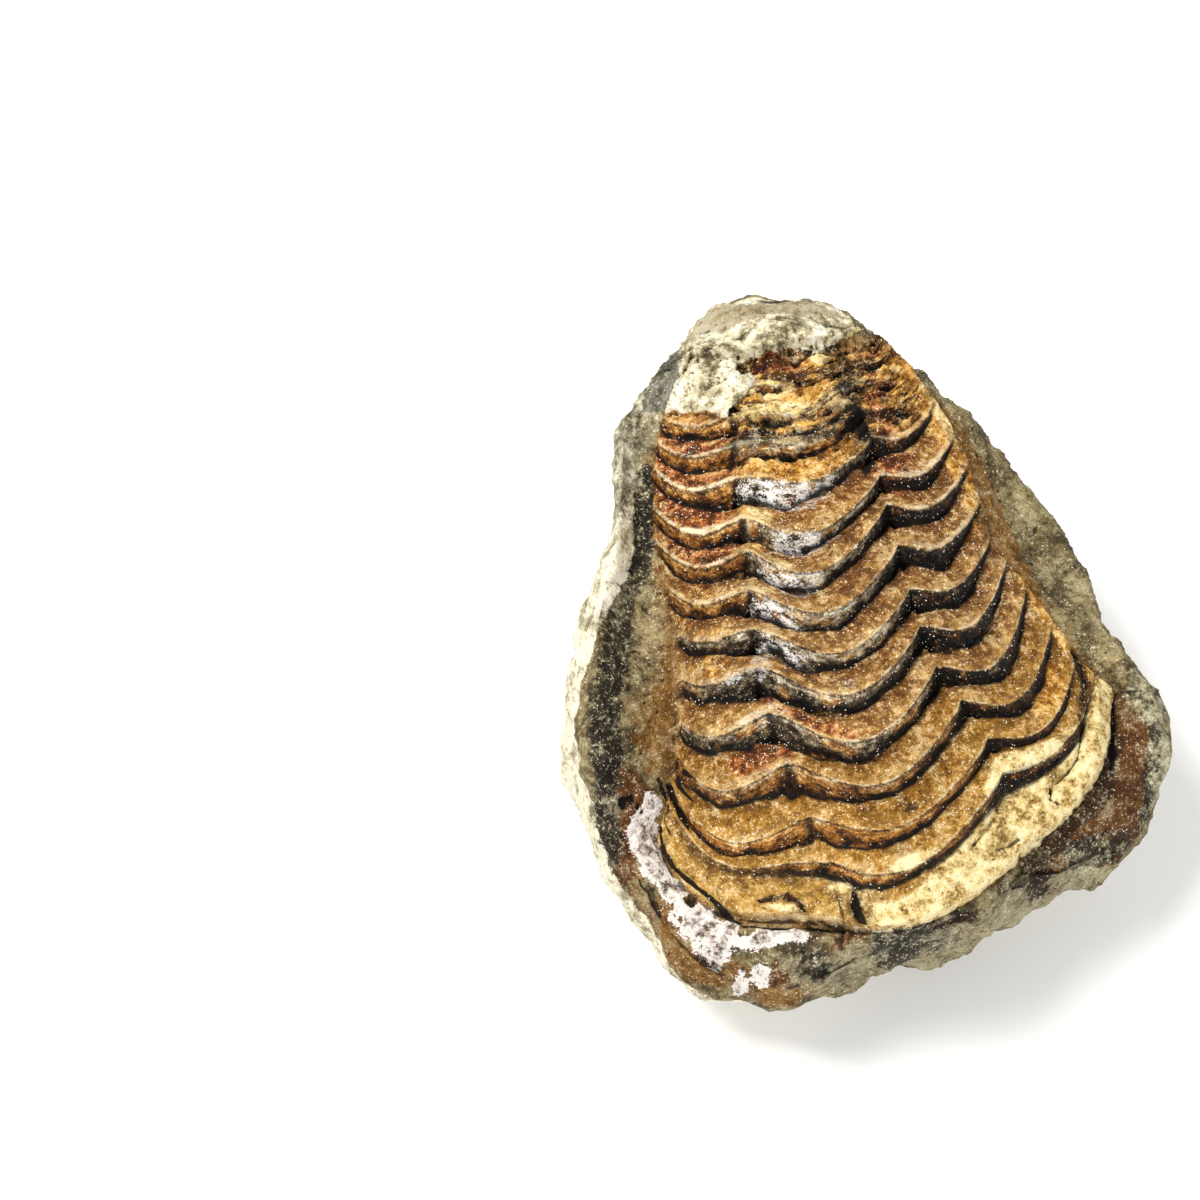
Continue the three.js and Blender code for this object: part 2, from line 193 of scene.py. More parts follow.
# Grooves, cracks and ridges of the face by their stain, the dark grooves by their painted shade: half
# width, height and points in plan.
STROKES = {
    "umber": (
        (0.7, -1.3, ((22.6, 2), (23.9, -2.5), (23.1, -6.6), (22.4, -10))),
        (0.35, -0.8, ((22.4, -10), (21.7, -12.5), (20.6, -14.1), (19.4, -15.4), (18.5, -15.9),
            (18.3, -16.9))),
        (0.45, -0.6, ((9.2, -23.9), (11, -21.6), (12, -20.2), (12.8, -18), (13.7, -16.2), (15, -15.4),
            (17.2, -14.6), (19.4, -13))),
        (0.25, -0.5, ((18.2, -15.9), (18.6, -16.6), (18.3, -17.4), (19.1, -17.9))),
        (0.25, -0.4, ((14.7, -21.9), (13.4, -22.8), (12.2, -23.4), (11.8, -24.6))),
        # With no height, this stroke paints shade along the outer wall below the rim.
        (0.9, 0, ((26.4, -8.5), (26, -12), (25, -15), (22.8, -17.7), (20.4, -19.8))),
        (1.6, -0.8, ((17.6, -20.8), (16.9, -23), (16.4, -25.2))),
        (0.25, -0.3, ((14.2, -26.2), (13, -27.6), (11.2, -28.9), (7.8, -30.2), (4.7, -31.4))),
        (0.4, -0.6, ((-13, -28.6), (-10.4, -28.3), (-9, -28.8), (-8.6, -30.2))),
        (0.9, -1.2, ((-3.1, -28.2), (-2.6, -29.6), (-1.6, -31.2))),
        (0.3, -0.6, ((-22.4, 32.6), (-19.7, 31.8), (-16.9, 33.2), (-14.6, 34), (-13.1, 35.4),
            (-11.8, 35.8))),
        (0.8, -0.5, ((-4.5, 37.2), (-3, 37), (-1, 37.6))),
    ),
    "cream": (
        (0.8, 0.5, ((11.2, -19.6), (11.8, -17.2), (13.3, -15.1), (15.3, -14.1), (17.9, -12.8),
            (20.4, -10.7))),
        (1, 0.5, ((25.1, -3.1), (24.6, -7.3), (23.8, -11.2), (22.3, -14.4), (20.7, -16.8))),
        (0.4, 0.35, ((-12.4, -29.3), (-9.8, -29.6), (-8, -30.6))),
        (0.8, 0.6, ((-13, 34.4), (-10.5, 35.2), (-8, 34.8), (-4.5, 34.6), (-2, 36), (-0.6, 37.4))),
    ),
    # Dark lines of painted shadow in the grooves and gaps round the fossil's edge and its hooked tips; most
    # also cut a groove.
    "soot": (
        (0.35, -0.5, ((27.2, -3), (26.5, -7), (26.2, -10.4), (25.7, -12.6))),
        (0.24, -0.5, ((-22.2, -20.2), (-22.6, -19.2), (-23.3, -19.1), (-23.2, -20.4), (-22.8, -22),
            (-21.9, -23.8), (-20.6, -25.3), (-18.6, -27.2), (-16.8, -28.9), (-14.4, -30.6),
            (-11.5, -31.1), (-8.6, -31.2), (-4, -30.9))),
        (0.34, -0.5, ((-22, -15.1), (-22.4, -14.8), (-21.8, -16.6), (-21.1, -18.4), (-20.4, -20))),
        (0.3, -0.5, ((-20, -17.2), (-21.1, -15.6), (-21.4, -14.4), (-20.9, -13.8), (-20, -15))),
        (0.3, -0.4, ((-23.5, -14.3), (-23.2, -15.2), (-22.7, -16.2))),
        (0.34, -0.6, ((-27.4, -18.3), (-27.6, -17.4), (-26.5, -17), (-25.4, -18.2))),
        (0.6, -0.8, ((-3.2, -28.2), (-2.8, -29.6), (-2, -31))),
    ),
    "clay": (
        (0.9, 0.7, ((-4.6, 24.3), (-3.2, 24.8), (-1.8, 25.1))),
        (1, 0.6, ((-1.4, 20.9), (-0.2, 21.2), (1, 21.7))),
    ),
    "ochre": (
        (1.3, 0.4, ((4.8, 33.4), (8.2, 29), (10.8, 26), (13, 22), (14.4, 17.1), (15.9, 12.9), (17.8, 9),
            (19.8, 4.8), (21.8, 1.6))),
    ),
}

# Edge of the matrix that laps over the tail, from its left end to its right, and how high it laps.
CAP_EDGE = (
    (-30, 28), (-23.1, 27.7), (-19.7, 26.6), (-17.6, 25.9), (-16.9, 24.6), (-15.6, 24.2), (-14.8, 25.4),
    (-13.8, 27), (-13, 28.6), (-13.8, 30.2), (-14.4, 31.4), (-12, 32.2), (-8.5, 32.5), (-5.2, 32.1),
    (-3.7, 33), (-1.8, 35), (-0.7, 37), (-0.7, 50), (-30, 50))
CAP_HEIGHT = 0.9
# The ripple of the cap's edge, how far inside it the cap rises, and how far it reaches toward the rim.
CAP_RIPPLE = 0.25
CAP_SLOPE = (-0.1, 0.35)
CAP_FADE = 0.6

# Stains and crusts of the matrix: place in plan, radius along x and y, and strength, which is below
# 0 where a stain has a hole.
MATRIX_STAINS = {
    "ash": (
        (-24.8, 26, 1.4, 3, 1.1), (6, -35, 10, 4.4, 1.5), (17, -27.5, 5, 2.4, 1.2),
        (-8, -34.5, 3, 1.2, 0.7), (25, -24.5, 6, 2.4, 1.1)),
    "dark": (
        (-24.8, 19, 1.6, 3, 1.2), (-25.4, 15.5, 2.2, 5, 1.1), (-26.6, 10, 2.2, 4, 1.1),
        (-27.6, 3, 1.3, 6, 1.3), (-28.9, -8, 1.2, 7, 1.1), (-29.2, -16, 1.2, 4, 1),
        (-7, -34.4, 2.6, 1.8, 0.7), (23.4, -21.4, 3, 1.4, 1.1), (2, -33, 4, 0.7, 0.8),
        (31.5, -8, 1.2, 5, 0.9), (30.5, -16, 1.4, 4, 0.9), (27, -19.6, 2, 1.6, 0.7),
        (1.4, -32, 2, 1.1, 1.3), (5.5, -31.2, 2, 0.6, 1.2), (8.5, -30, 1.5, 0.6, 1),
        (17.5, -25, 1.6, 1.6, 1.2), (-29.5, -12, 0.9, 5, 1.2), (-28.9, -20.5, 1.4, 3, 1.2),
        (-26, -27.6, 0.8, 1.6, 0.9)),
    "clay": (
        (-24.2, 2, 1.8, 6, 0.9), (-25.6, -26, 1.6, 0.9, 0.7), (-10, 40, 7, 2.4, 1.3),
        (-17, 38, 4, 2.2, 1), (8, -33.5, 6, 1.6, 0.4), (26.5, 2, 2, 3, 0.7)),
    "moss": (
        (-23, 33, 2, 6, 1.3), (31, -2.6, 2.4, 3.4, 1.1), (32, -13, 1.8, 7, 0.9), (23, -22.4, 3, 1.4, 0.8),
        (-28.6, 22, 3.2, 8, 1.3)),
    "ochre": (
        (-23.5, -9.5, 3, 5, 0.9), (-22.8, -2, 1.2, 5, 0.7), (-22.5, -30.5, 2.4, 3, 1.2),
        (-19, -34, 4, 1.4, 1.1), (-12, -37, 5, 2, 0.9), (-26.4, -28.5, 3, 3, 0.9), (-27, -23, 2, 4, 0.5)),
    "rust": (
        (-28, -21, 2.2, 5, 1.1), (-26.6, -16.6, 2.6, 2.6, 0.9), (-24.4, -28, 2, 1.6, 0.8),
        (-10, -35, 5, 1.4, 0.7), (-3.6, -32.8, 1.9, 1.8, 1.1), (27.2, -12, 4, 7.5, 1.5),
        (24.6, -18.6, 4, 3.2, 1.4), (20.4, -20, 2.4, 2.4, 1.1), (-3, 37.2, 2.4, 0.9, 1),
        (20, -23.5, 1.6, 2, 1)),
    "umber": ((26.4, -9.5, 1.4, 4, 0.7), (19.6, -19.6, 1.8, 1.6, 0.8), (18, -23, 1.4, 3, 1)),
    "calcite": (
        (-25, -20.4, 1.8, 2.4, 1.3), (-24.2, -16.9, 0.9, 1, 1), (-24, -23.5, 1.3, 1.5, 1.1),
        (-22.3, -25.8, 1.7, 1.4, 1.1), (-20.2, -28.6, 2.1, 2, 1.3), (-16.8, -31.2, 2.7, 1.8, 1.3),
        (-12.6, -32, 2.2, 0.9, 1.1), (-9.2, -31.9, 1.6, 0.7, 1), (-12.6, -35, 0.9, 0.9, 1.3),
        (-15, -35.8, 0.9, 1, 1.2), (-17.4, -33.4, 1, 0.6, 0.8), (-20.2, -27.6, 0.6, 0.7, -1.4),
        (-14.4, -31.2, 0.8, 0.6, -1.6), (-21.2, -29.2, 0.5, 0.5, -0.8)),
}
# Stains and crusts of the ribs, and painted shade along their furrows: station and place across, radius of
# each, and strength. "rimmed" marks the ribs with a broad pale lip.
RIB_STAINS_AND_SHADE = {
    "red": (
        (13.7, 1.3, 0.35, 0.3, 1.2), (4.25, 1.33, 0.22, 0.25, 1.2), (3.4, 0.82, 0.3, 0.28, 1.2),
        (4.6, 0.95, 0.25, 0.2, 0.7), (11.6, 0.5, 0.25, 0.2, 0.9), (8.8, 2.13, 0.4, 0.13, 1),
        (10.4, 0.45, 1.9, 0.6, 1.1), (9.2, 2.3, 1, 0.3, 0.6), (8.2, 0.5, 0.7, 0.4, 0.5),
        (11.4, 2.3, 1.2, 0.25, 0.7), (13.5, 2.4, 0.5, 0.4, 0.9)),
    "ochre": (
        (13.65, 1.3, 0.2, 0.14, 1), (12.5, 1.62, 0.4, 0.22, 1.2), (10.4, 1.5, 0.45, 0.45, 1.3),
        (12, 0.2, 0.35, 0.25, 1.1), (12.4, 2.6, 1.8, 0.4, 0.6), (7, 0.4, 4, 0.4, 0.45),
        (2.4, 2.75, 0.7, 0.2, 0.9), (9.3, 1.12, 1.5, 0.12, 0.9), (9.5, 2.95, 2.4, 0.12, 1.2)),
    "cream": (
        (13.7, 1.74, 0.25, 0.09, 1.2), (12.85, 1.27, 0.22, 0.2, 1.5), (12.1, 1.3, 0.3, 0.3, 1.2),
        (0.4, 2.4, 0.62, 0.5, 2.4), (1.45, 2.3, 0.3, 0.3, 1.1), (0.3, 1.9, 0.42, 0.2, 1.8),
        (0.15, 1.6, 0.3, 0.3, 1.3), (0.5, 1.15, 0.35, 0.16, 1.2), (0.9, 1.25, 0.15, 0.2, 0.9),
        (1.2, 1.6, 0.2, 0.12, 0.7), (9.8, 2.98, 1.6, 0.05, 0.8), (9.2, 1.2, 0.25, 0.15, 0.7),
        (8.2, 1.3, 0.2, 0.25, 0.5)),
    "umber": (
        (13.15, 1.45, 0.2, 0.35, 1.1), (12, 1.97, 1.2, 0.12, 1.1), (13, 2.4, 0.5, 0.3, 0.8),
        (1, 1.83, 0.14, 0.03, 1), (2.3, 1.68, 0.14, 0.03, 1.1)),
    "ash": ((11.05, 1.4, 0.25, 0.5, 1.4), (12.1, 1.9, 0.16, 0.12, 1.2)),
    "crust": (
        (11.45, 1.2, 0.16, 0.05, 1.4), (9.72, 1.4, 0.26, 0.38, 1.4), (8.66, 1.5, 0.22, 0.22, 1.3),
        (7.7, 1.35, 0.24, 0.22, 1.2), (6.72, 1.2, 0.22, 0.2, 1.3), (5.75, 1.2, 0.2, 0.2, 1),
        (5.2, 1.03, 0.3, 0.09, 1.1), (5.05, 0.75, 0.1, 0.2, 1.1), (4.05, 0.8, 0.09, 0.2, 1),
        (4.2, 1.08, 0.25, 0.1, 1), (5.3, 1.6, 0.12, 0.06, 1)),
    # Painted shade, mostly along the furrows near the tail.
    "soot": (
        (10.9, 1.95, 0.4, 0.09, 1.1), (10.2, 2, 0.4, 0.06, 1), (9.5, 1.97, 0.3, 0.07, 1),
        (12, 1, 2.4, 0.06, 0.6), (11.3, 1.65, 0.1, 0.3, 0.9)),
    "rimmed": ((9.6, 0.5, 2.8, 0.6, 1.3), (4.5, 0.7, 1.6, 0.35, 0.5), (8.4, 2.6, 1.8, 0.4, 0.9)),
}
# Names of the stain masks and of the painted shade lines.
STAIN_AND_SHADE_MASKS = sorted({*STROKES, *MATRIX_STAINS, *RIB_STAINS_AND_SHADE})
# Other masks on the points: place on the ribs, size of their steps, and place on the nodule.
MASKS = (
    "station", "across", "share", "step", "scarp", "fossil", "inset", "outward", "rind", "weather")
# How strongly a stroke marks its mask, and its width at its ends and fullness toward its middle.
STROKE_STRENGTH = 1.2
STROKE_ENDS = 0.35
STROKE_FULLNESS = 0.6
# Heights of the calcite crust and of the broad lips, and where the crust's mask rises.
CALCITE_HEIGHT = 0.2
CALCITE_EDGE = (0.35, 0.6)
BROAD_LIP_HEIGHT = 0.3
# How far down the outside the stains reach, where 1 is the widest line, and over what they fade.
STAIN_REACH = 1.0
ASH_REACH = 1.3
REACH_FADE = 0.4

# ------------------------------------------------------------------ noises, limits and colours

# Noises of the shape and the finish: waves per millimetre, octaves, roughness and warp.
NOISES = {
    "lips": (0.45, 4.0, 0.6, 0.0), "scarps": (0.22, 3.0, 0.5, 0.0),
    "broken steps": (0.3, 3.0, 0.6, 0.0), "chips": (0.9, 4.0, 0.65, 0.0),
    "lumps": (0.16, 4.0, 0.5, 0.3), "grain": (0.9, 5.0, 0.62, 0.0),
    "layers": (1.0, 5.0, 0.7, 0.5), "grain patches": (0.2, 3.0, 0.6, 0.0),
    "fine": (4.2, 2.0, 0.6, 0.0), "grit": (1.9, 4.0, 0.72, 0.0), "patches": (0.8, 5.0, 0.7, 0.0),
    "mottle": (0.27, 6.0, 0.66, 0.0), "edges": (0.6, 6.0, 0.7, 0.0),
    "streaks": (1.0, 4.0, 0.65, 0.0), "specks": (3.6, 2.0, 0.6, 0.0),
}
# How far the finish's noises are moved apart, so that they don't line up.
FINISH_NOISES = {"fine": 90.0, "grit": 0.0, "patches": 40.0, "mottle": 10.0, "edges": 70.0}
# Mixes of the finish: how much of each noise goes in, and the middle of the mix.
MIXES = {
    "edges": ({"edges": 2.0, "fine": 0.6}, 0.0),
    "blotches": ({"mottle": 1.0, "patches": 1.0}, 0.5),
    "tone": ({"fine": 0.35, "grit": 0.55, "patches": 0.9, "mottle": 0.9}, 0.5),
    "flecks": ({"fine": 1.0, "grit": 0.6, "patches": 0.5}, 0.0),
    "grain_glints": ({"grit": 1.0, "patches": 0.6}, 0.0),
    "bump": ({"grit": 1.5, "fine": 1.0, "patches": 1.0}, 0.0),
    "chalky": ({"streaks": 1.6, "fine": 1.0}, 0.0),
    "frost": ({"fine": 0.5, "grit": 0.5, "streaks": 1.1, "patches": 0.8, "mottle": 0.5}, 0.5),
    "matrix": ({"mottle": 1.0, "patches": 0.3}, 0.5), "cap": ({"mottle": 1.0, "patches": 0.6}, 0.5),
    "rind": ({"mottle": 1.0}, 0.5), "calcite": ({"grit": 1.0, "patches": 1.0}, 0.5),
    "weathered grey": ({"patches": 1.0, "mottle": 0.6, "grit": 0.4}, 0.5),
}
# Waves of the facets and of the pits to a millimetre, and heights of the facets and of the finest
# grain, which only the shading shows.
FACET_WAVES = 0.3
PIT_WAVES = 0.55
FACET_HEIGHT = 0.35
BUMP_HEIGHT = 0.2
# Waves of the tail's layers to a station and across a lobe, and of the finish's streaks.
LAYER_WAVES = (3.0, 2.2)
STREAK_WAVES = (12.0, 8.0)
# How much lower the lumps lie outside the rim, and over what share of the way down the outside.
OUTSIDE_HOLLOW = 0.14
OUTSIDE = (0.0, 0.6)
# How strong lumps, grain and pits are on the ribs, and facets on the face, beside 1 elsewhere, and
# what the layers have before the tail and at the tips of the ribs.
LUMPS_ON_RIBS = 0.35
GRAIN_ON_RIBS = 0.6
PITS_ON_RIBS = 0.1
FACETS_ON_FACE = 0.4
LAYERS_BEFORE_TAIL = 0.15
LAYERS_AT_TIPS = 0.3

# Stations between which the broken tail begins, how much later it does on the left lobe, and the
# places across between which that ends.
TAIL = (9.3, 11.0)
LEFT_LOBE_LAG = 2.6
LEFT_LOBE = (1.05, 0.9)
# How much more the lips wander, and how much of the steps and of the grains is lost, in the tail.
TAIL_RAGGEDNESS = 2.0
TAIL_LOSS = 0.8
GRAIN_LOSS = 0.7
# How much the share of a rib that its scarp takes varies with its noise.
SCARP_VARIATION = 2.0
# Powers of a rib's fall and of the crevice behind it, and the angle that its scarp turns through.
PLATE_CURVE = 1.15
CREVICE_CURVE = 14.0
SCARP_TURN = 0.43 * math.pi
# Shares of a rib where a broad lip rises and where chips lie, before the next lip and behind its own.
BROAD_LIP = (0.17, 0.0)
BELOW_LIP = (0.86, 1.0)
BEHIND_LIP = (0.1, 0.0)
# Places across the lobes between which the layers die out at the tips.
LEFT_TIPS = (0.0, 0.15)
RIGHT_TIPS = (3.0, 2.75)
# Limits of a noise between which steps stay whole, lips are chipped and grains gather; of the distance
# to a cell's middle, between which there is a pit; and of a step's height, between which its masks and
# its broad lip show.
WHOLE_STEPS = (0.4, 0.58)
CHIPPED = (0.56, 0.66)
GRAIN_PATCHES = (0.45, 0.62)
PITTED = (0.25, 0.05)
ANY_STEP = (0.1, 0.6)
FULL_STEP = (0.2, 0.8)
# How dense the grains still are outside the patches, and off the ribs.
GRAINS_ELSEWHERE = 0.15
# Rounds of smoothing that tell the fine hollows and the broad valleys of the shape, where the finish paints
# shade.
HOLLOWS = {"hollow": 4, "valley": 30}

# Colours along a tone: place, and six-figure code or name in the settings.
TONES = {
    "ribs": (
        (0.0, "BE9648"), (0.08, "AE8032"), (0.16, "ochre"), (0.34, "brown"), (0.58, "brown"),
        (0.7, "orange"), (0.9, "orange"), (1.0, "8C5C2A")),
    "golden": ((0.36, "A86E22"), (0.5, "C98F36"), (0.64, "EBC06A")),
    "rusty": ((0.36, "3C1708"), (0.5, "84380F"), (0.62, "BC6A22")),
    "straw": ((0.3, "BC9A58"), (0.42, "D8BA74"), (0.52, "cream"), (0.66, "FBF2C4")),
    "black scarp": (
        (0.1, "080604"), (0.3, "2A2218"), (0.42, "5A4C38"), (0.54, "8C7B60"), (0.68, "CFC2A6"),
        (0.85, "FBF6EA")),
    "brown scarp": (
        (0.1, "0E0703"), (0.28, "4A2A0E"), (0.42, "8A5520"), (0.56, "B98338"), (0.7, "E2BE7E"),
        (0.85, "FCEFD0")),
    "matrix": ((0.34, "564D36"), (0.46, "766948"), (0.54, "857650"), (0.68, "A09268")),
    "cap": ((0.34, "7C7358"), (0.43, "BDB38E"), (0.52, "E8DEBC"), (0.66, "FBF8EC")),
    "rind": ((0.28, "857F64"), (0.37, "BDB592"), (0.46, "rind"), (0.64, "F4EED8")),
    "weathered grey": ((0.3, "3A362A"), (0.44, "77725A"), (0.56, "A8A180"), (0.72, "EFEAD2")),
    "calcite": ((0.36, "54463A"), (0.44, "94857A"), (0.54, "CBBEB2"), (0.66, "EEE6DE")),
}


# ------------------------------------------------------------------ shape of the face and the rind


def hermite(before, start, end, after, t):
    """Cubic from start to end with slopes from their neighbours."""
    t = t.reshape(t.shape + (1,) * (start.ndim - t.ndim))
    slope = (end - before) / 2
    next_slope = (after - start) / 2
    cubic = 2 * start - 2 * end + slope + next_slope
    square = -3 * start + 3 * end - 2 * slope - next_slope
    return ((cubic * t + square) * t + slope) * t + start


def spline(values, share):
    """Smooth curve through evenly spaced values, at shares of its length."""
    values = np.asarray(values, dtype=float)
    ends = np.concatenate((
        [2 * values[0] - values[1]], values, [2 * values[-1] - values[-2]]))
    place = np.clip(share, 0, 1) * (len(values) - 1)
    index = np.minimum(place.astype(int), len(values) - 2)
    return hermite(*(ends[index + step] for step in range(4)), place - index)


def round_the_outline(values, angle):
    """Smooth closed curve through evenly spaced values round the outline, at angles in radians."""
    values = np.asarray(values, dtype=float)
    place = (angle / (2 * math.pi) * len(values)) % len(values)
    index = place.astype(int)
    near = (values[(index + step) % len(values)] for step in (-1, 0, 1, 2))
    return hermite(*near, place - index)


def smooth_step(value, low, high):
    """0 below low, 1 above high and smooth between."""
    t = np.clip((value - low) / (high - low), 0, 1)
    return t * t * (3 - 2 * t)


def bell(*distances):
    """1 at no distance, falling off smoothly; each distance is a share of its radius."""
    return np.exp(-sum(np.square(distance) for distance in distances))


def spot(points, x, y, radius_x, radius_y):
    """1 at a place in plan, falling off smoothly over its radius along x and y."""
    return bell((points[:, 0] - x) / radius_x, (points[:, 1] - y) / radius_y)


def sag(across, skew):
    """0 at both sides of a lobe and 1 in its middle, fuller on one side."""
    return (np.sin(math.pi * across ** skew) / math.sin(math.pi * 0.5 ** skew)) ** SAG_FULLNESS


def lip_surface(lobe, across, station):
    """The surface through the rib lips, at shares across one lobe and stations along it."""
    *guides, skew, low_on_right, _ = lobe
    start, through, end = (spline(GUIDES[name], station / STATIONS) for name in guides)
    full = 4 * across * (1 - across)
    depth = sag(across if low_on_right else 1 - across, skew)
    weights = np.stack((full, depth, full ** CROWN_FULLNESS), axis=-1)
    return start + (end - start) * across[:, None] + (through - (start + end) / 2) * weights


def grid_places(columns, rows):
    """Stations of the grid's points, rib numbers and rib shares of its rows, and the places across
    its columns."""
    ribs = np.append(np.repeat(np.arange(STATIONS), rows), STATIONS - 1)
    shares = np.append(np.tile(np.arange(rows) / rows, STATIONS), 1.0)
    counts = [round(columns * lobe[-1]) for lobe in LOBES]
    places = [number + np.arange(count) / count for number, count in enumerate(counts)]
    across = np.append(np.concatenate(places), len(LOBES))
    lips = np.repeat(np.asarray(LIP_STATIONS, dtype=float)[:, None], len(across), axis=1)
    lips[1] += across_profile(FIRST_LIP_SHIFT, across)
    return lips[ribs] + shares[:, None] * np.diff(lips, axis=0)[ribs], ribs, shares, across


def lip_grid(stations, across):
    """Points of the lip surface, with the furrows between the lobes rounded off."""
    lobe_of = np.minimum(across.astype(int), len(LOBES) - 1)
    grid = np.empty(stations.shape + (3,))
    for number, lobe in enumerate(LOBES):
        columns = np.flatnonzero(lobe_of == number)
        share = np.tile(across[columns] - number, (len(stations), 1))
        points = lip_surface(lobe, share.ravel(), stations[:, columns].ravel())
        grid[:, columns] = points.reshape(share.shape + (3,))
    for _ in range(FURROW_SMOOTHING):
        height = grid[:, :, 2]
        height[:, 1:-1] = height[:, 1:-1] / 2 + (height[:, :-2] + height[:, 2:]) / 4
    return grid


def rib_values(ribs, across, first, profile):
    """Values of the rib table from a column on, spread across the lobes for each grid row."""
    table = np.asarray(RIBS)[:, first:first + 3]
    middles = (0.5, 1.5, 2.5)
    rows = np.stack([np.interp(across, middles, row) for row in table])
    return rows[ribs] * across_profile(profile, across)


def across_profile(table, across):
    """Values across the lobes from a table of places and values."""
    return np.interp(across, *zip(*table))


def inside_cap(points):
    """Distance inside the edge of the matrix cap, in millimetres, negative outside."""
    edge = np.asarray(CAP_EDGE, dtype=float)
    inside = np.zeros(len(points), dtype=bool)
    distance = np.full(len(points), np.inf)
    x, y = points[:, 0], points[:, 1]
    for start, end in zip(edge, np.roll(edge, -1, axis=0)):
        crosses = (start[1] > y) != (end[1] > y)
        level = (y - start[1]) / ((end[1] - start[1]) or 1.0)
        inside ^= crosses & (x < start[0] + level * (end[0] - start[0]))
        distance = np.minimum(distance, distance_to(points, start, end)[0])
    return np.where(inside, distance, -distance)


def distance_to(points, start, end):
    """Distance in plan from points to a straight stretch, and how far along it they lie."""
    along = end - start
    offset = points[:, :2] - start
    share = np.clip(offset @ along / (along @ along), 0, 1)
    return np.linalg.norm(offset - share[:, None] * along, axis=1), share


def stroke_mask(points, half_width, stretch):
    """1 along a line of points, falling off to its sides, and narrower toward its ends."""
    stretch = np.asarray(stretch, dtype=float)
    distance = np.full(len(points), np.inf)
    pieces = len(stretch) - 1
    for number, (start, end) in enumerate(zip(stretch, stretch[1:])):
        away, share = distance_to(points, start, end)
        middle = np.sin(math.pi * (number + share) / pieces) ** STROKE_FULLNESS
        fullness = STROKE_ENDS + (1 - STROKE_ENDS) * middle
        distance = np.minimum(distance, away / (half_width * fullness))
    return bell(distance)


def unevenness(points):
    """Sum of the long waves at each point."""
    total = np.zeros(len(points))
    for height, *along, phase in WAVES:
        total += height * np.sin(points @ np.array(along) + phase)
    return total


def polar(angle, radius, height):
    """Points at polar places about the nodule's centre."""
    return np.stack((
        CENTRE[0] + radius * np.cos(angle), CENTRE[1] + radius * np.sin(angle), height), axis=-1)


def face_ring(lips, angle, share):
    """Ring of matrix from the fossil's edge (share 0) to the rim (share 1)."""
    rim = polar(angle, round_the_outline(RIM_RADIUS, angle), round_the_outline(RIM_HEIGHT, angle))
    ring = lips + (rim - lips) * share
    drop = round_the_outline(EDGE_DROP, angle) * (1 - share) * smooth_step(share, 0, FIRST_RING)
    bulge = round_the_outline(MATRIX_BULGE, angle) * 4 * share * (1 - share)
    ring[:, 2] += bulge - drop
    return roughen_face(ring, FOSSIL_WAVES + (1 - FOSSIL_WAVES) * share)


def swell_ring(angle, share):
    """Ring of rind from the rim (share 0) out to the widest line (share 1)."""
    turn = share * math.pi / 2
    widest = round_the_outline(WIDEST_HEIGHT, angle)
    rise = round_the_outline(RIM_HEIGHT, angle) - widest
    radius = round_the_outline(RIM_RADIUS, angle) + round_the_outline(SWELL, angle) * math.sin(turn)
    return roughen_rind(polar(angle, radius, widest + rise * math.cos(turn)), 1)


def underside_ring(angle, share):
    """Ring of rind from the widest line (share 0) under to the resting flat (share 1)."""
    turn = share * math.pi / 2
    widest = round_the_outline(RIM_RADIUS, angle) + round_the_outline(SWELL, angle)
    radius = widest * (FLAT_SHARE + (1 - FLAT_SHARE) * math.cos(turn))
    height = round_the_outline(WIDEST_HEIGHT, angle) * (1 - math.sin(turn))
    return roughen_rind(polar(angle, radius, height), 1 - share)


def roughen_face(points, share):
    """Adds the features and a share of the long waves to points of the upper face."""
    lifted = points.copy()
    features = sum(height * spot(points, x, y, radius, radius) for x, y, radius, height in FEATURES)
    lifted[:, 2] += features + share * unevenness(points)
    return lifted


def roughen_rind(points, share):
    """Pushes points of the rind outward by a share of the long waves."""
    push = (share * unevenness(points))[:, None]
    outward = points[:, :2] - CENTRE
    outward /= np.linalg.norm(outward, axis=1, keepdims=True)
    moved = points.copy()
    moved[:, :2] += push * outward
    return moved


# ------------------------------------------------------------------ mesh of the nodule half


def border(grid):
    """The border of a grid, anticlockwise seen from above."""
    return np.concatenate((
        grid[0, :-1], grid[:-1, -1], grid[-1, :0:-1], grid[:0:-1, 0]))


class NoduleMesh:
    """Collects the vertices, faces and point masks of the nodule half."""

    def __init__(self):
        self.points = []
        self.faces = []
        self.masks = {name: [] for name in MASKS}
        self.count = 0

    def add(self, points, **masks):
        """Adds points with their masks, 0 where not given, and returns their numbers."""
        numbers = np.arange(self.count, self.count + len(points))
        self.count += len(points)
        self.points.append(points)
        for name, values in self.masks.items():
            values.append(np.broadcast_to(masks.get(name, 0.0), len(points)).astype(float))
        return numbers

    def stitch(self, inner, outer, closed=True):
        """Joins two rows of point numbers with quads, the second on the outer side."""
        if closed:
            inner, outer = np.append(inner, inner[0]), np.append(outer, outer[0])
        self.faces.append(np.stack((inner[:-1], outer[:-1], outer[1:], inner[1:]), axis=1))

    def build(self, name, flat):
        """The finished object, closed by a flat face, with its stains and masks on its points."""
        points = np.concatenate(self.points)
        masks = {label: np.concatenate(values) for label, values in self.masks.items()}
        add_relief(points, masks)
        faces = [tuple(face) for face in np.concatenate(self.faces).tolist()]
        faces.append(tuple(reversed(flat.tolist())))
        mesh = bpy.data.meshes.new(name)
        mesh.from_pydata(((points + PLAN_SHIFT) * MM).tolist(), [], faces)
        store(mesh, masks)
        piece = bpy.data.objects.new(name, mesh)
        bpy.context.collection.objects.link(piece)
        return piece


def store(mesh, masks):
    """Stores masks on a mesh's points."""
    for name, values in masks.items():
        layer = mesh.attributes.new(name, "FLOAT", "POINT")
        layer.data.foreach_set("value", np.asarray(values, dtype=np.float32))


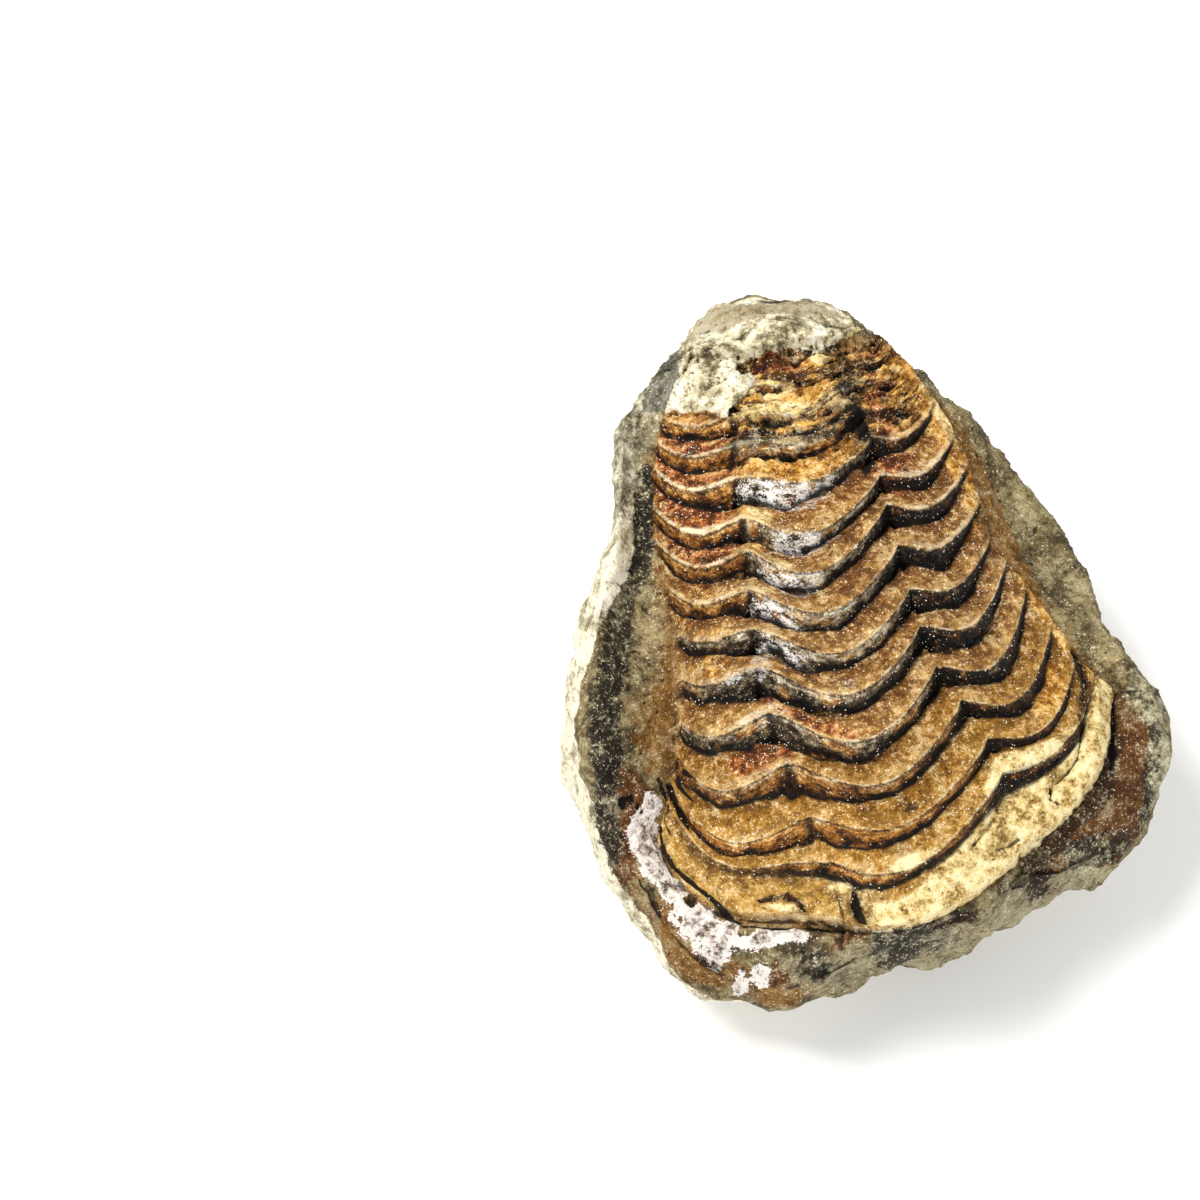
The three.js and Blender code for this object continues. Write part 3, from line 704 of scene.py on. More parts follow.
def add_relief(points, masks):
    """Adds the cap, the strokes and the calcite crust to the points, and their stains and painted shade
    lines to the masks.
    """
    face = smooth_step(masks["outward"], 0.3, 0)
    fossil = masks["fossil"]
    masks.update({name: np.zeros(len(points)) for name in STAIN_AND_SHADE_MASKS})
    ripple = CAP_RIPPLE * np.sin(3 * points[:, 0]) * np.sin(2.6 * points[:, 1])
    cap = smooth_step(inside_cap(points) + ripple, *CAP_SLOPE)
    masks["cap"] = cap * face
    masks["step"] *= 1 - cap
    fade = np.maximum(fossil, smooth_step(masks["inset"], CAP_FADE, 0)) * face
    points[:, 2] += CAP_HEIGHT * cap * fade
    for name, stains in MATRIX_STAINS.items():
        reach = ASH_REACH if name == "ash" else STAIN_REACH
        reached = smooth_step(masks["outward"], reach, reach - REACH_FADE) * (1 - fossil)
        masks[name] += reached * sum(strength * spot(points, *place) for *place, strength in stains)
    for name, stains in RIB_STAINS_AND_SHADE.items():
        for station, across, radius, reach, strength in stains:
            stain = bell((masks["station"] - station) / radius, (masks["across"] - across) / reach)
            masks[name] += strength * stain * fossil * (1 - cap)
    for name, strokes in STROKES.items():
        for half_width, height, stretch in strokes:
            line = stroke_mask(points, half_width, stretch) * face
            points[:, 2] += height * line
            masks[name] = np.maximum(masks[name], STROKE_STRENGTH * line)
    points[:, 2] += CALCITE_HEIGHT * smooth_step(masks["calcite"], *CALCITE_EDGE)


def even(count):
    """Even shares from above 0 to 1."""
    return np.arange(1, count + 1) / count


def add_fossil(mesh, settings):
    """Adds the smooth face of the ribs, and returns its border: point numbers, lips and masks."""
    station, ribs, shares, across = grid_places(settings.columns, settings.rows_per_rib)
    shape = station.shape
    masks = {
        "station": station, "across": np.broadcast_to(across, shape),
        "share": np.broadcast_to(shares[:, None], shape),
        "step": rib_values(ribs, across, 0, STEP_ACROSS),
        "scarp": rib_values(ribs, across, 3, SCARP_ACROSS)}
    lips = lip_grid(station, across)
    sunk = lips.copy()
    past_foot = (masks["share"] - 1 + masks["scarp"]) / CUSP_LENGTH
    for place, radius, depth in CUSP_PITS:
        pit = bell((masks["across"] - place) / radius, past_foot)
        sunk[:, :, 2] -= depth * pit * masks["step"] / 2
    patch = mesh.add(
        roughen_face(sunk.reshape(-1, 3), FOSSIL_WAVES), fossil=1.0, weather=1.0,
        **{name: values.ravel() for name, values in masks.items()}).reshape(shape)
    for row, following in zip(patch, patch[1:]):
        mesh.stitch(following, row, closed=False)
    return border(patch), border(lips), {name: border(values) for name, values in masks.items()}


def add_rings(mesh, settings, loop, lips, masks):
    """Adds the matrix and the rind in rings from the fossil's border, and returns the last ring."""
    angle = np.arctan2(lips[:, 1] - CENTRE[1], lips[:, 0] - CENTRE[0])
    rings = [
        (share - 1, face_ring(lips, angle, share)) for share in even(settings.matrix_rings) ** CROWDING]
    rings += [(share, swell_ring(angle, share)) for share in even(settings.rim_rings)]
    rings += [(share + 1, underside_ring(angle, share)) for share in even(settings.underside_rings)]
    rind_from = round_the_outline(RIND_FROM, angle)
    for travel, points in rings:
        inset = min(1.0, 1 + travel)
        faded = masks | {"step": masks["step"] * max(0.0, 1 - inset / RIB_FADE)}
        numbers = mesh.add(
            points, inset=inset, fossil=max(0.0, 1 - inset / FIRST_RING), outward=max(0.0, travel),
            rind=smooth_step(travel, rind_from - RIND_EDGE, rind_from + RIND_EDGE),
            weather=min(1.0, FLAT_CALM * (2 - travel)), **faded)
        mesh.stitch(loop, numbers)
        loop = numbers
    return loop


def smooth_nodule(settings):
    """The nodule half before its ribs are cut: the face, the matrix round it and the rind."""
    mesh = NoduleMesh()
    return mesh.build(STONE_PIECE, flat=add_rings(mesh, settings, *add_fossil(mesh, settings)))


# ------------------------------------------------------------------ node trees


def formula(operation, swapped=False):
    """A method that joins a field and another number by one Math node."""
    def joined(field, other=0.0):
        pair = (other, field) if swapped else (field, other)
        return field.wiring.math(operation, *pair)
    return joined


class Field:
    """One output of a node, so that a formula on it reads as a formula."""

    def __init__(self, wiring, socket):
        self.wiring = wiring
        self.socket = socket

    __add__ = formula("ADD")
    __radd__ = formula("ADD", swapped=True)
    __sub__ = formula("SUBTRACT")
    __rsub__ = formula("SUBTRACT", swapped=True)
    __mul__ = formula("MULTIPLY")
    __truediv__ = formula("DIVIDE")
    __pow__ = formula("POWER")
    __abs__ = formula("ABSOLUTE")

    def ramp(self, low, high):
        """0 at low, 1 at high, smooth between them and held beyond them."""
        inputs = {"Value": self, "From Min": low, "From Max": high}
        return self.wiring.field("ShaderNodeMapRange", inputs, interpolation_type="SMOOTHSTEP")


class Wiring:
    """Adds nodes to one tree and joins them."""

    def __init__(self, tree):
        self.tree = tree

    def node(self, kind, inputs=None, **settings):
        """A new node, with its settings made and its inputs fed by name or number."""
        node = self.tree.nodes.new(kind)
        for name, value in settings.items():
            setattr(node, name, value)
        for key, value in (inputs or {}).items():
            self.feed(node.inputs[key], value)
        return node

    def feed(self, socket, value):
        """Links a socket to a field, or sets its value."""
        if isinstance(value, Field):
            self.tree.links.new(value.socket, socket)
        else:
            socket.default_value = value

    def field(self, kind, inputs=None, output=0, **settings):
        """One output of a new node."""
        return Field(self, self.node(kind, inputs, **settings).outputs[output])

    def math(self, operation, first, second=0.0, clamp=False):
        """One Math node; clamped, its result stays between 0 and 1."""
        inputs = {0: first, 1: second}
        return self.field("ShaderNodeMath", inputs, operation=operation, use_clamp=clamp)

    def most(self, *values):
        """The greatest of several fields."""
        greatest = values[0]
        for value in values[1:]:
            greatest = self.math("MAXIMUM", greatest, value)
        return greatest

    def vector(self, **axes):
        """A vector from its parts, 0 where not given."""
        return self.field("ShaderNodeCombineXYZ", axes)

    def scaled(self, vector, factor):
        """A vector times a number."""
        return self.field("ShaderNodeVectorMath", {0: vector, "Scale": factor}, operation="SCALE")

    def moved(self, vector, offset):
        """A vector plus another."""
        return self.field("ShaderNodeVectorMath", {0: vector, 1: offset}, operation="ADD")

    def noise(self, place, kind):
        """A fractal noise between 0 and 1, mostly near its middle."""
        waves, octaves, rough, warp = NOISES[kind]
        inputs = {"Vector": place, "Scale": waves, "Detail": octaves, "Roughness": rough,
                  "Distortion": warp}
        return self.field("ShaderNodeTexNoise", inputs)

    def cells(self, place, waves):
        """Distance to the nearest of scattered points."""
        return self.field("ShaderNodeTexVoronoi", {"Vector": place, "Scale": waves}, "Distance")

    def mask(self, name):
        """A number stored on the mesh's points."""
        if self.tree.type == "GEOMETRY":
            return self.field("GeometryNodeInputNamedAttribute", {"Name": name}, data_type="FLOAT")
        return self.field("ShaderNodeAttribute", output="Fac", attribute_name=name)

    def tail(self):
        """1 in the broken tail, which reaches less far on the left lobe, and 0 before it."""
        left = self.mask("across").ramp(*LEFT_LOBE)
        return (self.mask("station") - left * LEFT_LOBE_LAG).ramp(*TAIL)

    def blend(self, share, first, second, mode="MIX"):
        """Mix of two colours."""
        # The colour sockets share their names with others, so they go by number.
        inputs = {0: share, 6: first, 7: second}
        return self.field(
            "ShaderNodeMix", inputs, 2, data_type="RGBA", blend_type=mode, clamp_factor=True)


def tint(code):
    """Linear colour with full opacity from a six-figure screen colour."""
    values = [int(code[place:place + 2], 16) / 255 for place in (0, 2, 4)]
    linear = [value / 12.92 if value <= 0.04045 else ((value + 0.055) / 1.055) ** 2.4 for value in values]
    return (*linear, 1.0)


# ------------------------------------------------------------------ ribs, weathering and grains


class GeometryTree:
    """A geometry node tree with named inputs, whose geometry is changed step by step."""

    def __init__(self, name, inputs):
        self.tree = bpy.data.node_groups.new(name, "GeometryNodeTree")
        for side in ("INPUT", "OUTPUT"):
            self.tree.interface.new_socket("Geometry", in_out=side, socket_type="NodeSocketGeometry")
        for label in inputs:
            self.tree.interface.new_socket(label, in_out="INPUT", socket_type="NodeSocketFloat")
        self.wiring = Wiring(self.tree)
        group = self.wiring.node("NodeGroupInput")
        self.inputs = {socket.name: Field(self.wiring, socket) for socket in group.outputs}
        self.geometry = self.inputs["Geometry"]
        self.place = self.wiring.scaled(self.wiring.field("GeometryNodeInputPosition"), 1 / MM)

    def move(self, offset):
        """Moves the points by an offset in metres."""
        inputs = {"Geometry": self.geometry, "Offset": offset}
        self.geometry = self.wiring.field("GeometryNodeSetPosition", inputs)

    def store(self, name, value):
        """Stores a number on the points."""
        inputs = {"Geometry": self.geometry, "Name": name, "Value": value}
        self.geometry = self.wiring.field(
            "GeometryNodeStoreNamedAttribute", inputs, data_type="FLOAT", domain="POINT")

    def end(self, material):
        """Realizes the geometry, gives it its material and ends the tree."""
        real = self.wiring.field("GeometryNodeRealizeInstances", {"Geometry": self.geometry})
        inputs = {"Geometry": real, "Material": material}
        finished = self.wiring.field("GeometryNodeSetMaterial", inputs)
        self.wiring.node("NodeGroupOutput", {"Geometry": finished})

    def bake(self, piece, values):
        """Runs the tree on a piece and keeps the result as its plain mesh."""
        modifier = piece.modifiers.new(self.tree.name, "NODES")
        modifier.node_group = self.tree
        for item in self.tree.interface.items_tree:
            if item.name in values:
                modifier[item.identifier] = values[item.name]
        evaluated = piece.evaluated_get(bpy.context.evaluated_depsgraph_get())
        mesh = bpy.data.meshes.new_from_object(evaluated)
        piece.modifiers.remove(modifier)
        old = piece.data
        piece.data = mesh
        bpy.data.meshes.remove(old)
        mesh.name = piece.name


class WeatheringTree(GeometryTree):
    """Cuts the stepped ribs into the smooth face and roughens the whole stone."""

    def __init__(self, material):
        super().__init__("Ribs and weathering", (
            "Step scale", "Crevice depth", "Raggedness", "Lump height", "Grain height", "Pit depth",
            "Chip depth", "Layer height", "Seed"))
        wiring, seed = self.wiring, self.inputs["Seed"]
        self.place = wiring.moved(self.place, wiring.vector(X=seed, Y=seed, Z=seed))
        self.fossil, self.station, self.across = (
            wiring.mask(name) for name in ("fossil", "station", "across"))
        self.tail = wiring.tail()
        ragged = self.spread("lips") * self.inputs["Raggedness"] * self.fossil
        ragged = ragged * (1.0 + self.tail * TAIL_RAGGEDNESS)
        self.share = wiring.math("ADD", wiring.mask("share"), ragged, clamp=True)
        self.scarp = wiring.mask("scarp") * (1.0 + self.spread("scarps") * SCARP_VARIATION)
        self.foot = 1.0 - self.scarp
        lost = self.tail * (1.0 - self.noise("broken steps").ramp(*WHOLE_STEPS)) * TAIL_LOSS
        self.step = wiring.mask("step") * self.inputs["Step scale"] * (1.0 - lost)
        self.rise = wiring.math("DIVIDE", self.share - self.foot, self.scarp, clamp=True)
        self.cut_ribs()
        layers = self.roughen()
        self.store_masks()
        self.store("layer", layers)
        self.end(material)

    def noise(self, kind):
        """A noise between 0 and 1 where the points are."""
        return self.wiring.noise(self.place, kind)

    def spread(self, kind):
        """A noise round 0 where the points are."""
        return self.noise(kind) - 0.5

    def cut_ribs(self):
        """Lowers each plate behind its lip to a crevice, from which a rounded scarp rises to the next
        lip, chips the lips and raises the broad ones."""
        wiring, share, crevice = self.wiring, self.share, self.inputs["Crevice depth"]
        along = wiring.math("DIVIDE", share, self.foot, clamp=True)
        plate = along ** PLATE_CURVE + along ** CREVICE_CURVE * crevice
        climb = wiring.math("SINE", self.rise * SCARP_TURN) * (1 / math.sin(SCARP_TURN))
        wall = (1.0 + crevice) * (1.0 - climb)
        near_lip = wiring.most(share.ramp(*BELOW_LIP), share.ramp(*BEHIND_LIP))
        chips = self.noise("chips").ramp(*CHIPPED) * near_lip * self.inputs["Chip depth"]
        rim = share.ramp(*BROAD_LIP) * wiring.mask("rimmed") * BROAD_LIP_HEIGHT
        rim = rim * self.step.ramp(*FULL_STEP)
        depth = wiring.math("MINIMUM", plate, wall) + chips
        self.move(wiring.vector(Z=rim * MM - depth * self.step * MM))

    def roughen(self):
        """Adds lumps, grain, facets and pits to the stone and thin layers to the tail, and returns the
        layers' height."""
        wiring, given = self.wiring, self.inputs
        bare = 1.0 - self.fossil * (1.0 - wiring.mask("cap"))
        outside = wiring.mask("outward").ramp(*OUTSIDE)
        lumps = self.noise("lumps") - (0.5 + outside * OUTSIDE_HOLLOW)
        lumps = lumps * given["Lump height"] * (LUMPS_ON_RIBS + bare + outside)
        grain = self.spread("grain") * given["Grain height"] * (GRAIN_ON_RIBS + bare)
        facets = wiring.cells(self.place, FACET_WAVES) - 0.5
        facets = facets * -FACET_HEIGHT * (bare * FACETS_ON_FACE + outside)
        pits = wiring.cells(self.place, PIT_WAVES).ramp(*PITTED)
        pits = pits * given["Pit depth"] * (PITS_ON_RIBS + bare) * -1.0
        along, across = LAYER_WAVES
        strike = wiring.vector(X=self.station * along, Y=self.across * across, Z=given["Seed"])
        inner = self.across.ramp(*RIGHT_TIPS) * self.across.ramp(*LEFT_TIPS)
        layers = (wiring.noise(strike, "layers") - 0.5) * given["Layer height"] * self.fossil
        layers = layers * (LAYERS_BEFORE_TAIL + self.tail) * (LAYERS_AT_TIPS + inner)
        rough = (lumps + grain + facets + pits + layers) * wiring.mask("weather") * MM
        self.move(wiring.scaled(wiring.field("GeometryNodeInputNormal"), rough))
        return layers

    def store_masks(self):
        """Stores where the parts of a rib lie, for the finish: among them where shade is painted in the
        crevice and under the lip, and where a highlight is painted on the lip.
        """
        share, past_foot = self.share, self.share - self.foot
        masks = {
            "wall": past_foot.ramp(-0.01, 0.02) * share.ramp(1.0, 0.96), "rise": self.rise,
            "lip": share.ramp(0.05, 0.01), "broad_lip": share.ramp(BROAD_LIP[0], 0.1),
            "crevice": abs(past_foot).ramp(0.085, 0.035),
            "under": share.ramp(0.92, 0.96) * share.ramp(1.0, 0.97)}
        for name, value in masks.items():
            self.store(name, value * self.step.ramp(*ANY_STEP))


def grains_tree(material):
    """Scatters small round grains over a mesh, densest in patches of the ribs, and keeps only them."""
    tree = GeometryTree("Crystal grains", ("Density", "Smallest", "Largest", "Seed"))
    wiring, given = tree.wiring, tree.inputs
    patchy = wiring.noise(tree.place, "grain patches").ramp(*GRAIN_PATCHES)
    ribs = wiring.mask("fossil") * (1.0 - wiring.tail() * GRAIN_LOSS)
    face = wiring.mask("outward").ramp(0.1, 0.0) * (GRAINS_ELSEWHERE + ribs)
    scatter = {"Mesh": tree.geometry, "Seed": given["Seed"],
               "Density": given["Density"] * (GRAINS_ELSEWHERE + patchy) * face}
    # The sockets for plain numbers share their names with others, so they go by number.
    sizes = {2: given["Smallest"], 3: given["Largest"], "Seed": given["Seed"]}
    ball = wiring.field("GeometryNodeMeshIcoSphere", {"Radius": 1.0, "Subdivisions": 1})
    tree.geometry = wiring.field("GeometryNodeInstanceOnPoints", {
        "Points": wiring.field("GeometryNodeDistributePointsOnFaces", scatter), "Instance": ball,
        "Scale": wiring.field("FunctionNodeRandomValue", sizes, 1)})
    tree.end(material)
    return tree


# ------------------------------------------------------------------ masks from the finished shape


def vertex_values(items, name):
    """Coordinates or normals of a mesh's points as an array."""
    values = np.empty(len(items) * 3, dtype=np.float32)
    items.foreach_get(name, values)
    return values.reshape(-1, 3).astype(float)


def hollowness(points, normals, edges, rounds):
    """How far each point lies below its smoothed neighbourhood, in millimetres."""
    ends, others = np.concatenate((edges, edges[:, ::-1])).T
    degree = np.bincount(ends, minlength=len(points))
    smooth = points.copy()
    for _ in range(rounds):
        means = [np.bincount(ends, smooth[others, axis], len(points)) / degree for axis in range(3)]
        smooth = (smooth + np.stack(means, axis=1)) / 2
    return ((smooth - points) * normals).sum(axis=1) / MM


def add_hollows(mesh):
    """Stores how hollow the finished shape is round each point, at two scales, for the painted shade."""
    points = vertex_values(mesh.vertices, "co")
    normals = vertex_values(mesh.vertex_normals, "vector")
    edges = np.empty(len(mesh.edges) * 2, dtype=np.int64)
    mesh.edges.foreach_get("vertices", edges)
    for name, rounds in HOLLOWS.items():
        store(mesh, {name: hollowness(points, normals, edges.reshape(-1, 2), rounds)})


def keep_inside(mesh):
    """Keeps every point of a mesh inside the solid's box."""
    points = np.clip(vertex_values(mesh.vertices, "co"), *np.asarray(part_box(NODE)))
    mesh.vertices.foreach_set("co", points.ravel().astype(np.float32))
    mesh.update()


# ------------------------------------------------------------------ finishes


class Finish:
    """The stone's layered finish, read from the masks on its points, with painted light and shade among its
    layers.
    """

    def __init__(self, material, colours):
        wiring = Wiring(material.node_tree)
        self.wiring = wiring
        self.shader = material.node_tree.nodes["Principled BSDF"]
        self.colours = colours
        self.place = wiring.scaled(wiring.field("ShaderNodeTexCoord", output="Object"), 1 / MM)
        self.noises = {
            kind: wiring.noise(wiring.moved(self.place, (offset,) * 3), kind) - 0.5
            for kind, offset in FINISH_NOISES.items()}
        self.station, self.across = wiring.mask("station"), wiring.mask("across")
        along, across = STREAK_WAVES
        strike = wiring.vector(X=self.station * along, Y=self.across * across)
        self.noises["streaks"] = wiring.noise(strike, "streaks") - 0.5
        self.patches, self.mottle = self.noises["patches"], self.noises["mottle"]
        self.edges, self.tone, self.flecks, self.blotches = (
            self.mix(name) for name in ("edges", "tone", "flecks", "blotches"))

    def mix(self, name):
        """The named mix of the noises."""
        weights, middle = MIXES[name]
        return sum(self.noises[kind] * weight for kind, weight in weights.items()) + middle

    def shade(self, colour):
        """A colour as a field, by its name in the settings or by its six-figure code."""
        if isinstance(colour, Field):
            return colour
        chosen = getattr(self.colours, colour, None)
        return tint(colour) if chosen is None else (*chosen, 1.0)

    def toned(self, name, tone=None):
        """The named colours along a tone, or along the mix of the same name."""
        node = self.wiring.node("ShaderNodeValToRGB", {0: tone or self.mix(name)})
        elements = node.color_ramp.elements
        while len(elements) < len(TONES[name]):
            elements.new(1.0)
        for element, (place, colour) in zip(elements, TONES[name]):
            element.position = place
            element.color = self.shade(colour)
        return Field(self.wiring, node.outputs[0])

    def ragged(self, name, low=0.35, high=0.55, wander=1.0):
        """A stored mask with a ragged edge."""
        amount = self.wiring.mask(name)
        return (amount + self.edges * wander).ramp(low, high) * amount.ramp(0.03, 0.2)

    def laid(self, colour, *layers):
        """The colour with layers laid over it, each given by how much it covers and its colour."""
        colour = self.shade(colour)
        for share, layer in layers:
            colour = self.wiring.blend(share, colour, self.shade(layer))
        return colour

    def stained(self, colour, *stains):
        """The colour with stains laid over it: mask, colour, strength and the mask's ragged edge."""
        layers = [(self.ragged(name, *edge) * strength, layer) for name, layer, strength, *edge in stains]
        return self.laid(colour, *layers)

    def grained(self, colour, dark, light, glow):
        """The colour darkened, and lightened toward its glow, by the grain of the stone."""
        for amount, strength, share, layer, mode in (
                (self.tone.ramp(0.53, 0.34), dark, 0.8, (0.36, 0.28, 0.2, 1.0), "MULTIPLY"),
                (self.tone.ramp(0.5, 0.68), light, 0.45, tint(glow), "MIX"),
                (self.flecks.ramp(-0.15, -0.26), dark, 0.8, (0.12, 0.1, 0.08, 1.0), "MULTIPLY"),
                (self.flecks.ramp(0.14, 0.24), light, 0.75, tint("FFF4D6"), "MIX")):
            colour = self.wiring.blend(amount * strength * share, colour, layer, mode)
        return colour

    def ribs(self):
        """Fracture surface of the ribs, between their scarps, with painted light and shade on the plates
        and among the tail's layers.
        """
        edges, tail = self.edges, self.wiring.tail()
        share, layer = self.wiring.mask("share"), self.wiring.mask("layer")
        # Low places among the tail's layers, where shade is painted.
        layer_hollows = layer + self.noises["streaks"] * 0.5 + edges * 0.15
        colour = self.laid(
            self.toned("ribs", self.station / float(STATIONS) + self.mottle * 0.35),
            (self.patches.ramp(0.02, 0.14) * 0.5, "B47A2A"),
            (self.mottle.ramp(0.02, 0.14) * 0.6, "5C3A1A"),
            # Painted highlight on the raised layers of the tail.
            ((layer + edges * 0.2).ramp(0.03, 0.13) * tail * 0.9, "EDB85A"),
            # Painted light on each plate near its lip, and painted shade toward the next scarp.
            ((share + edges).ramp(0.45, 0.0) * 0.35, "DCAE60"),
            ((share + edges * 0.5).ramp(0.45, 0.8) * 0.45, "4A2C14"),
            # Painted shade in the low places among the layers.
            (layer_hollows.ramp(-0.08, -0.14) * (0.1 + tail) * 0.9, "1C1610"))
        return self.stained(
            colour, ("ochre", self.toned("golden", self.blotches), 0.8),
            ("red", self.toned("rusty", self.blotches), 0.8), ("umber", "452A12", 0.9),
            ("ash", "3E3B34", 0.9), ("clay", "A38C62", 0.9),
            ("cream", self.toned("straw", self.blotches), 0.94, 0.28, 0.46, 0.3))

    def scarps(self):
        """Rounded scarps: dark stone with white frost, and painted shade that makes them black at the foot
        and grey above, darker in the right lobe's hollows and black in the furrows' pits; warm where the
        fossil is ochre.
        """
        station, across, mottle = self.station, self.across, self.mottle
        right = across.ramp(1.9, 2.02)
        middle = across.ramp(1.1, 1.35) * across.ramp(1.97, 1.75) * station.ramp(4.5, 6.0)
        # Painted shade: darker toward each scarp's foot and in the right lobe's hollows.
        tone = self.mix("frost") - right * 0.27 + middle * 0.12 + self.wiring.mask("rise") * 0.42 - 0.3
        warm = self.wiring.most(
            station.ramp(3.3, 2.7),
            across.ramp(1.04, 0.98) * station.ramp(6.0, 7.0),
            across.ramp(1.98, 2.06) * station.ramp(7.2, 8.6) * 0.85,
            station.ramp(10.2, 10.9) * mottle.ramp(0.05, -0.03),
            mottle.ramp(0.03, 0.1) * 0.8)
        # Painted shade in the pits where the scarps meet the furrows.
        cusp = self.wiring.most(
            abs(across - 1.0).ramp(0.07, 0.01), abs(across - 2.0).ramp(0.09, 0.02))
        return self.laid(
            self.toned("black scarp", tone), (warm, self.toned("brown scarp", tone)),
            (cusp * 0.85, "0B0806"))

    def matrix(self):
        """Stone round the fossil: olive grey and tan with stains, and painted glints of the grain in its
        dark patches.
        """
        near = (self.wiring.mask("inset") + self.edges * 0.3).ramp(0.34, 0.0)
        colour = self.toned("matrix")
        colour = self.stained(
            self.laid(colour, (near * 0.75, "96692F")), ("ochre", "845A20", 0.85),
            ("rust", "rust", 0.92, 0.35, 0.55, 0.5), ("ash", "968D70", 0.85), ("dark", "242118", 0.92))
        # Painted glints: pale flecks of the coarse grain in the dark stone.
        grain_glints = self.mix("grain_glints").ramp(0.06, 0.2)
        return self.stained(
            self.laid(colour, (self.ragged("dark") * grain_glints * 0.75, "A69F80")),
            ("clay", "A8966C", 0.7), ("moss", self.toned("weathered grey"), 0.85), ("umber", "33200F", 0.9),
            ("cream", "cream", 0.85))

    def cap(self):
        """Cap over the tail: pale beige stone, browner along the nodule's top and grey at its left."""
        return self.stained(self.toned("cap"), ("clay", "A39470", 0.85), ("moss", "55564A", 0.9))

    def rind(self):
        """Weathered outside of the nodule."""
        return self.stained(self.toned("rind"), ("moss", self.toned("weathered grey"), 0.85))

    def edged(self, colour, wall):
        """The colour with a painted highlight along the thin lips, the pale broad lips, and painted shadow
        lines under them.
        """
        mask, lined = self.wiring.mask, self.edges + self.mottle
        # Painted highlight along the thin lips; the broad lips are pale stone.
        lip = mask("lip") * lined.ramp(-0.15, 0.3) * 0.75
        rimmed = mask("broad_lip") * mask("rimmed") * (1.0 - wall) * lined.ramp(-0.3, 0.12) * 0.9
        # Painted shadow under each lip.
        under = mask("under") * self.edges.ramp(0.3, -0.1) * 0.9
        return self.laid(colour, (self.wiring.most(lip, rimmed), "F5E4BC"), (under, "0A0705"))

    def face(self):
        """The matrix and the ribs with their scarps, white crust, painted highlights on the lips and
        painted shadow under them.
        """
        wall = self.wiring.mask("wall")
        chalky = self.mix("chalky").ramp(-0.14, 0.1)
        colour = self.laid(
            self.grained(self.matrix(), 0.9, 0.7, "C0B48E"),
            (self.wiring.mask("fossil").ramp(0.4, 0.8), self.grained(self.ribs(), 1.0, 0.95, "F8D794")),
            (wall, self.scarps()), (self.ragged("crust", 0.4, 0.7) * (0.3 + wall * 0.7) * chalky, "F7F4EE"))
        return self.edged(colour, wall)

    def calcite(self):
        """The white crust beside the head end, mottled away from its edge."""
        inside = self.ragged("calcite", 0.6, 0.9) * self.mottle.ramp(-0.1, 0.0)
        return self.laid("EAE2DA", (inside, self.toned("calcite")))

    def painted_shade(self):
        """How much painted shade darkens the stone: in the crevices at the scarps' feet, along the shaded
        groove lines and in the hollows and valleys of the face.
        """
        mask = self.wiring.mask
        sheltered = mask("outward").ramp(0.3, 0.0)
        return self.wiring.most(
            mask("crevice"), self.ragged("soot", 0.4, 0.75, 0.8),
            mask("hollow").ramp(0.05, 0.16) * sheltered * 0.85,
            mask("valley").ramp(0.25, 0.9) * sheltered * 0.5)

    def apply(self):
        """Lays all the layers over one another, the painted shade last, and feeds the shader."""
        wiring, shader = self.wiring, self.shader
        capped = (wiring.mask("cap") + self.edges * 0.12).ramp(0.42, 0.54)
        colour = self.laid(
            self.face(), (capped, self.grained(self.cap(), 0.8, 0.3, "FFF4D8")),
            (self.ragged("rind", 0.4, 0.6, 0.7), self.grained(self.rind(), 0.8, 0.2, "FFF4D8")),
            (wiring.noise(self.place, "specks").ramp(0.66, 0.7) * 0.7, "FFF4DC"),
            # Painted shade in the crevices, groove lines, hollows and valleys.
            (self.ragged("calcite", 0.45, 0.55), self.calcite()), (self.painted_shade() * 0.97, "080503"))
        wiring.feed(shader.inputs["Base Color"], colour)
        wiring.feed(shader.inputs["Roughness"], 0.8 - wiring.mask("wall") * 0.2)
        shader.inputs["Specular IOR Level"].default_value = 0.2
        bump = {"Strength": 0.9, "Distance": BUMP_HEIGHT * MM, "Height": self.mix("bump")}
        wiring.feed(shader.inputs["Normal"], wiring.field("ShaderNodeBump", bump))


def new_material(name):
    """A material with a fresh shader, and the shader."""
    material = bpy.data.materials.new(name)
    material.use_nodes = True
    return material, material.node_tree.nodes["Principled BSDF"]


def plain_material(name, colour, roughness):
    """A material of one colour, for the floor and the tiny crystal grains."""
    material, shader = new_material(name)
    shader.inputs["Base Color"].default_value = (*colour, 1.0)
    shader.inputs["Roughness"].default_value = roughness
    return material


def stone_material(colours):
    """The whole specimen's finish."""
    material = new_material("Fossil and matrix")[0]
    Finish(material, colours).apply()
    return material


# ------------------------------------------------------------------ settings


def whole_number(name, description, default, low, high):
    """A whole-number property."""
    return IntProperty(name=name, description=description, default=default, min=low, max=high)


def factor(name, description, default, high=1.0):
    """A property that is a share of something."""
    return FloatProperty(
        name=name, description=description, default=default, min=0.0, max=high, subtype="FACTOR")


def length(name, description, default, high):
    """A length property."""
    return FloatProperty(
        name=name, description=description, default=default, min=0.0, max=high, subtype="DISTANCE",
        unit="LENGTH", precision=5)


def colour_of(name, description, code):
    """A colour property."""
    return FloatVectorProperty(
        name=name, description=description, default=tint(code)[:3], size=3, min=0.0, max=1.0,
        subtype="COLOR")


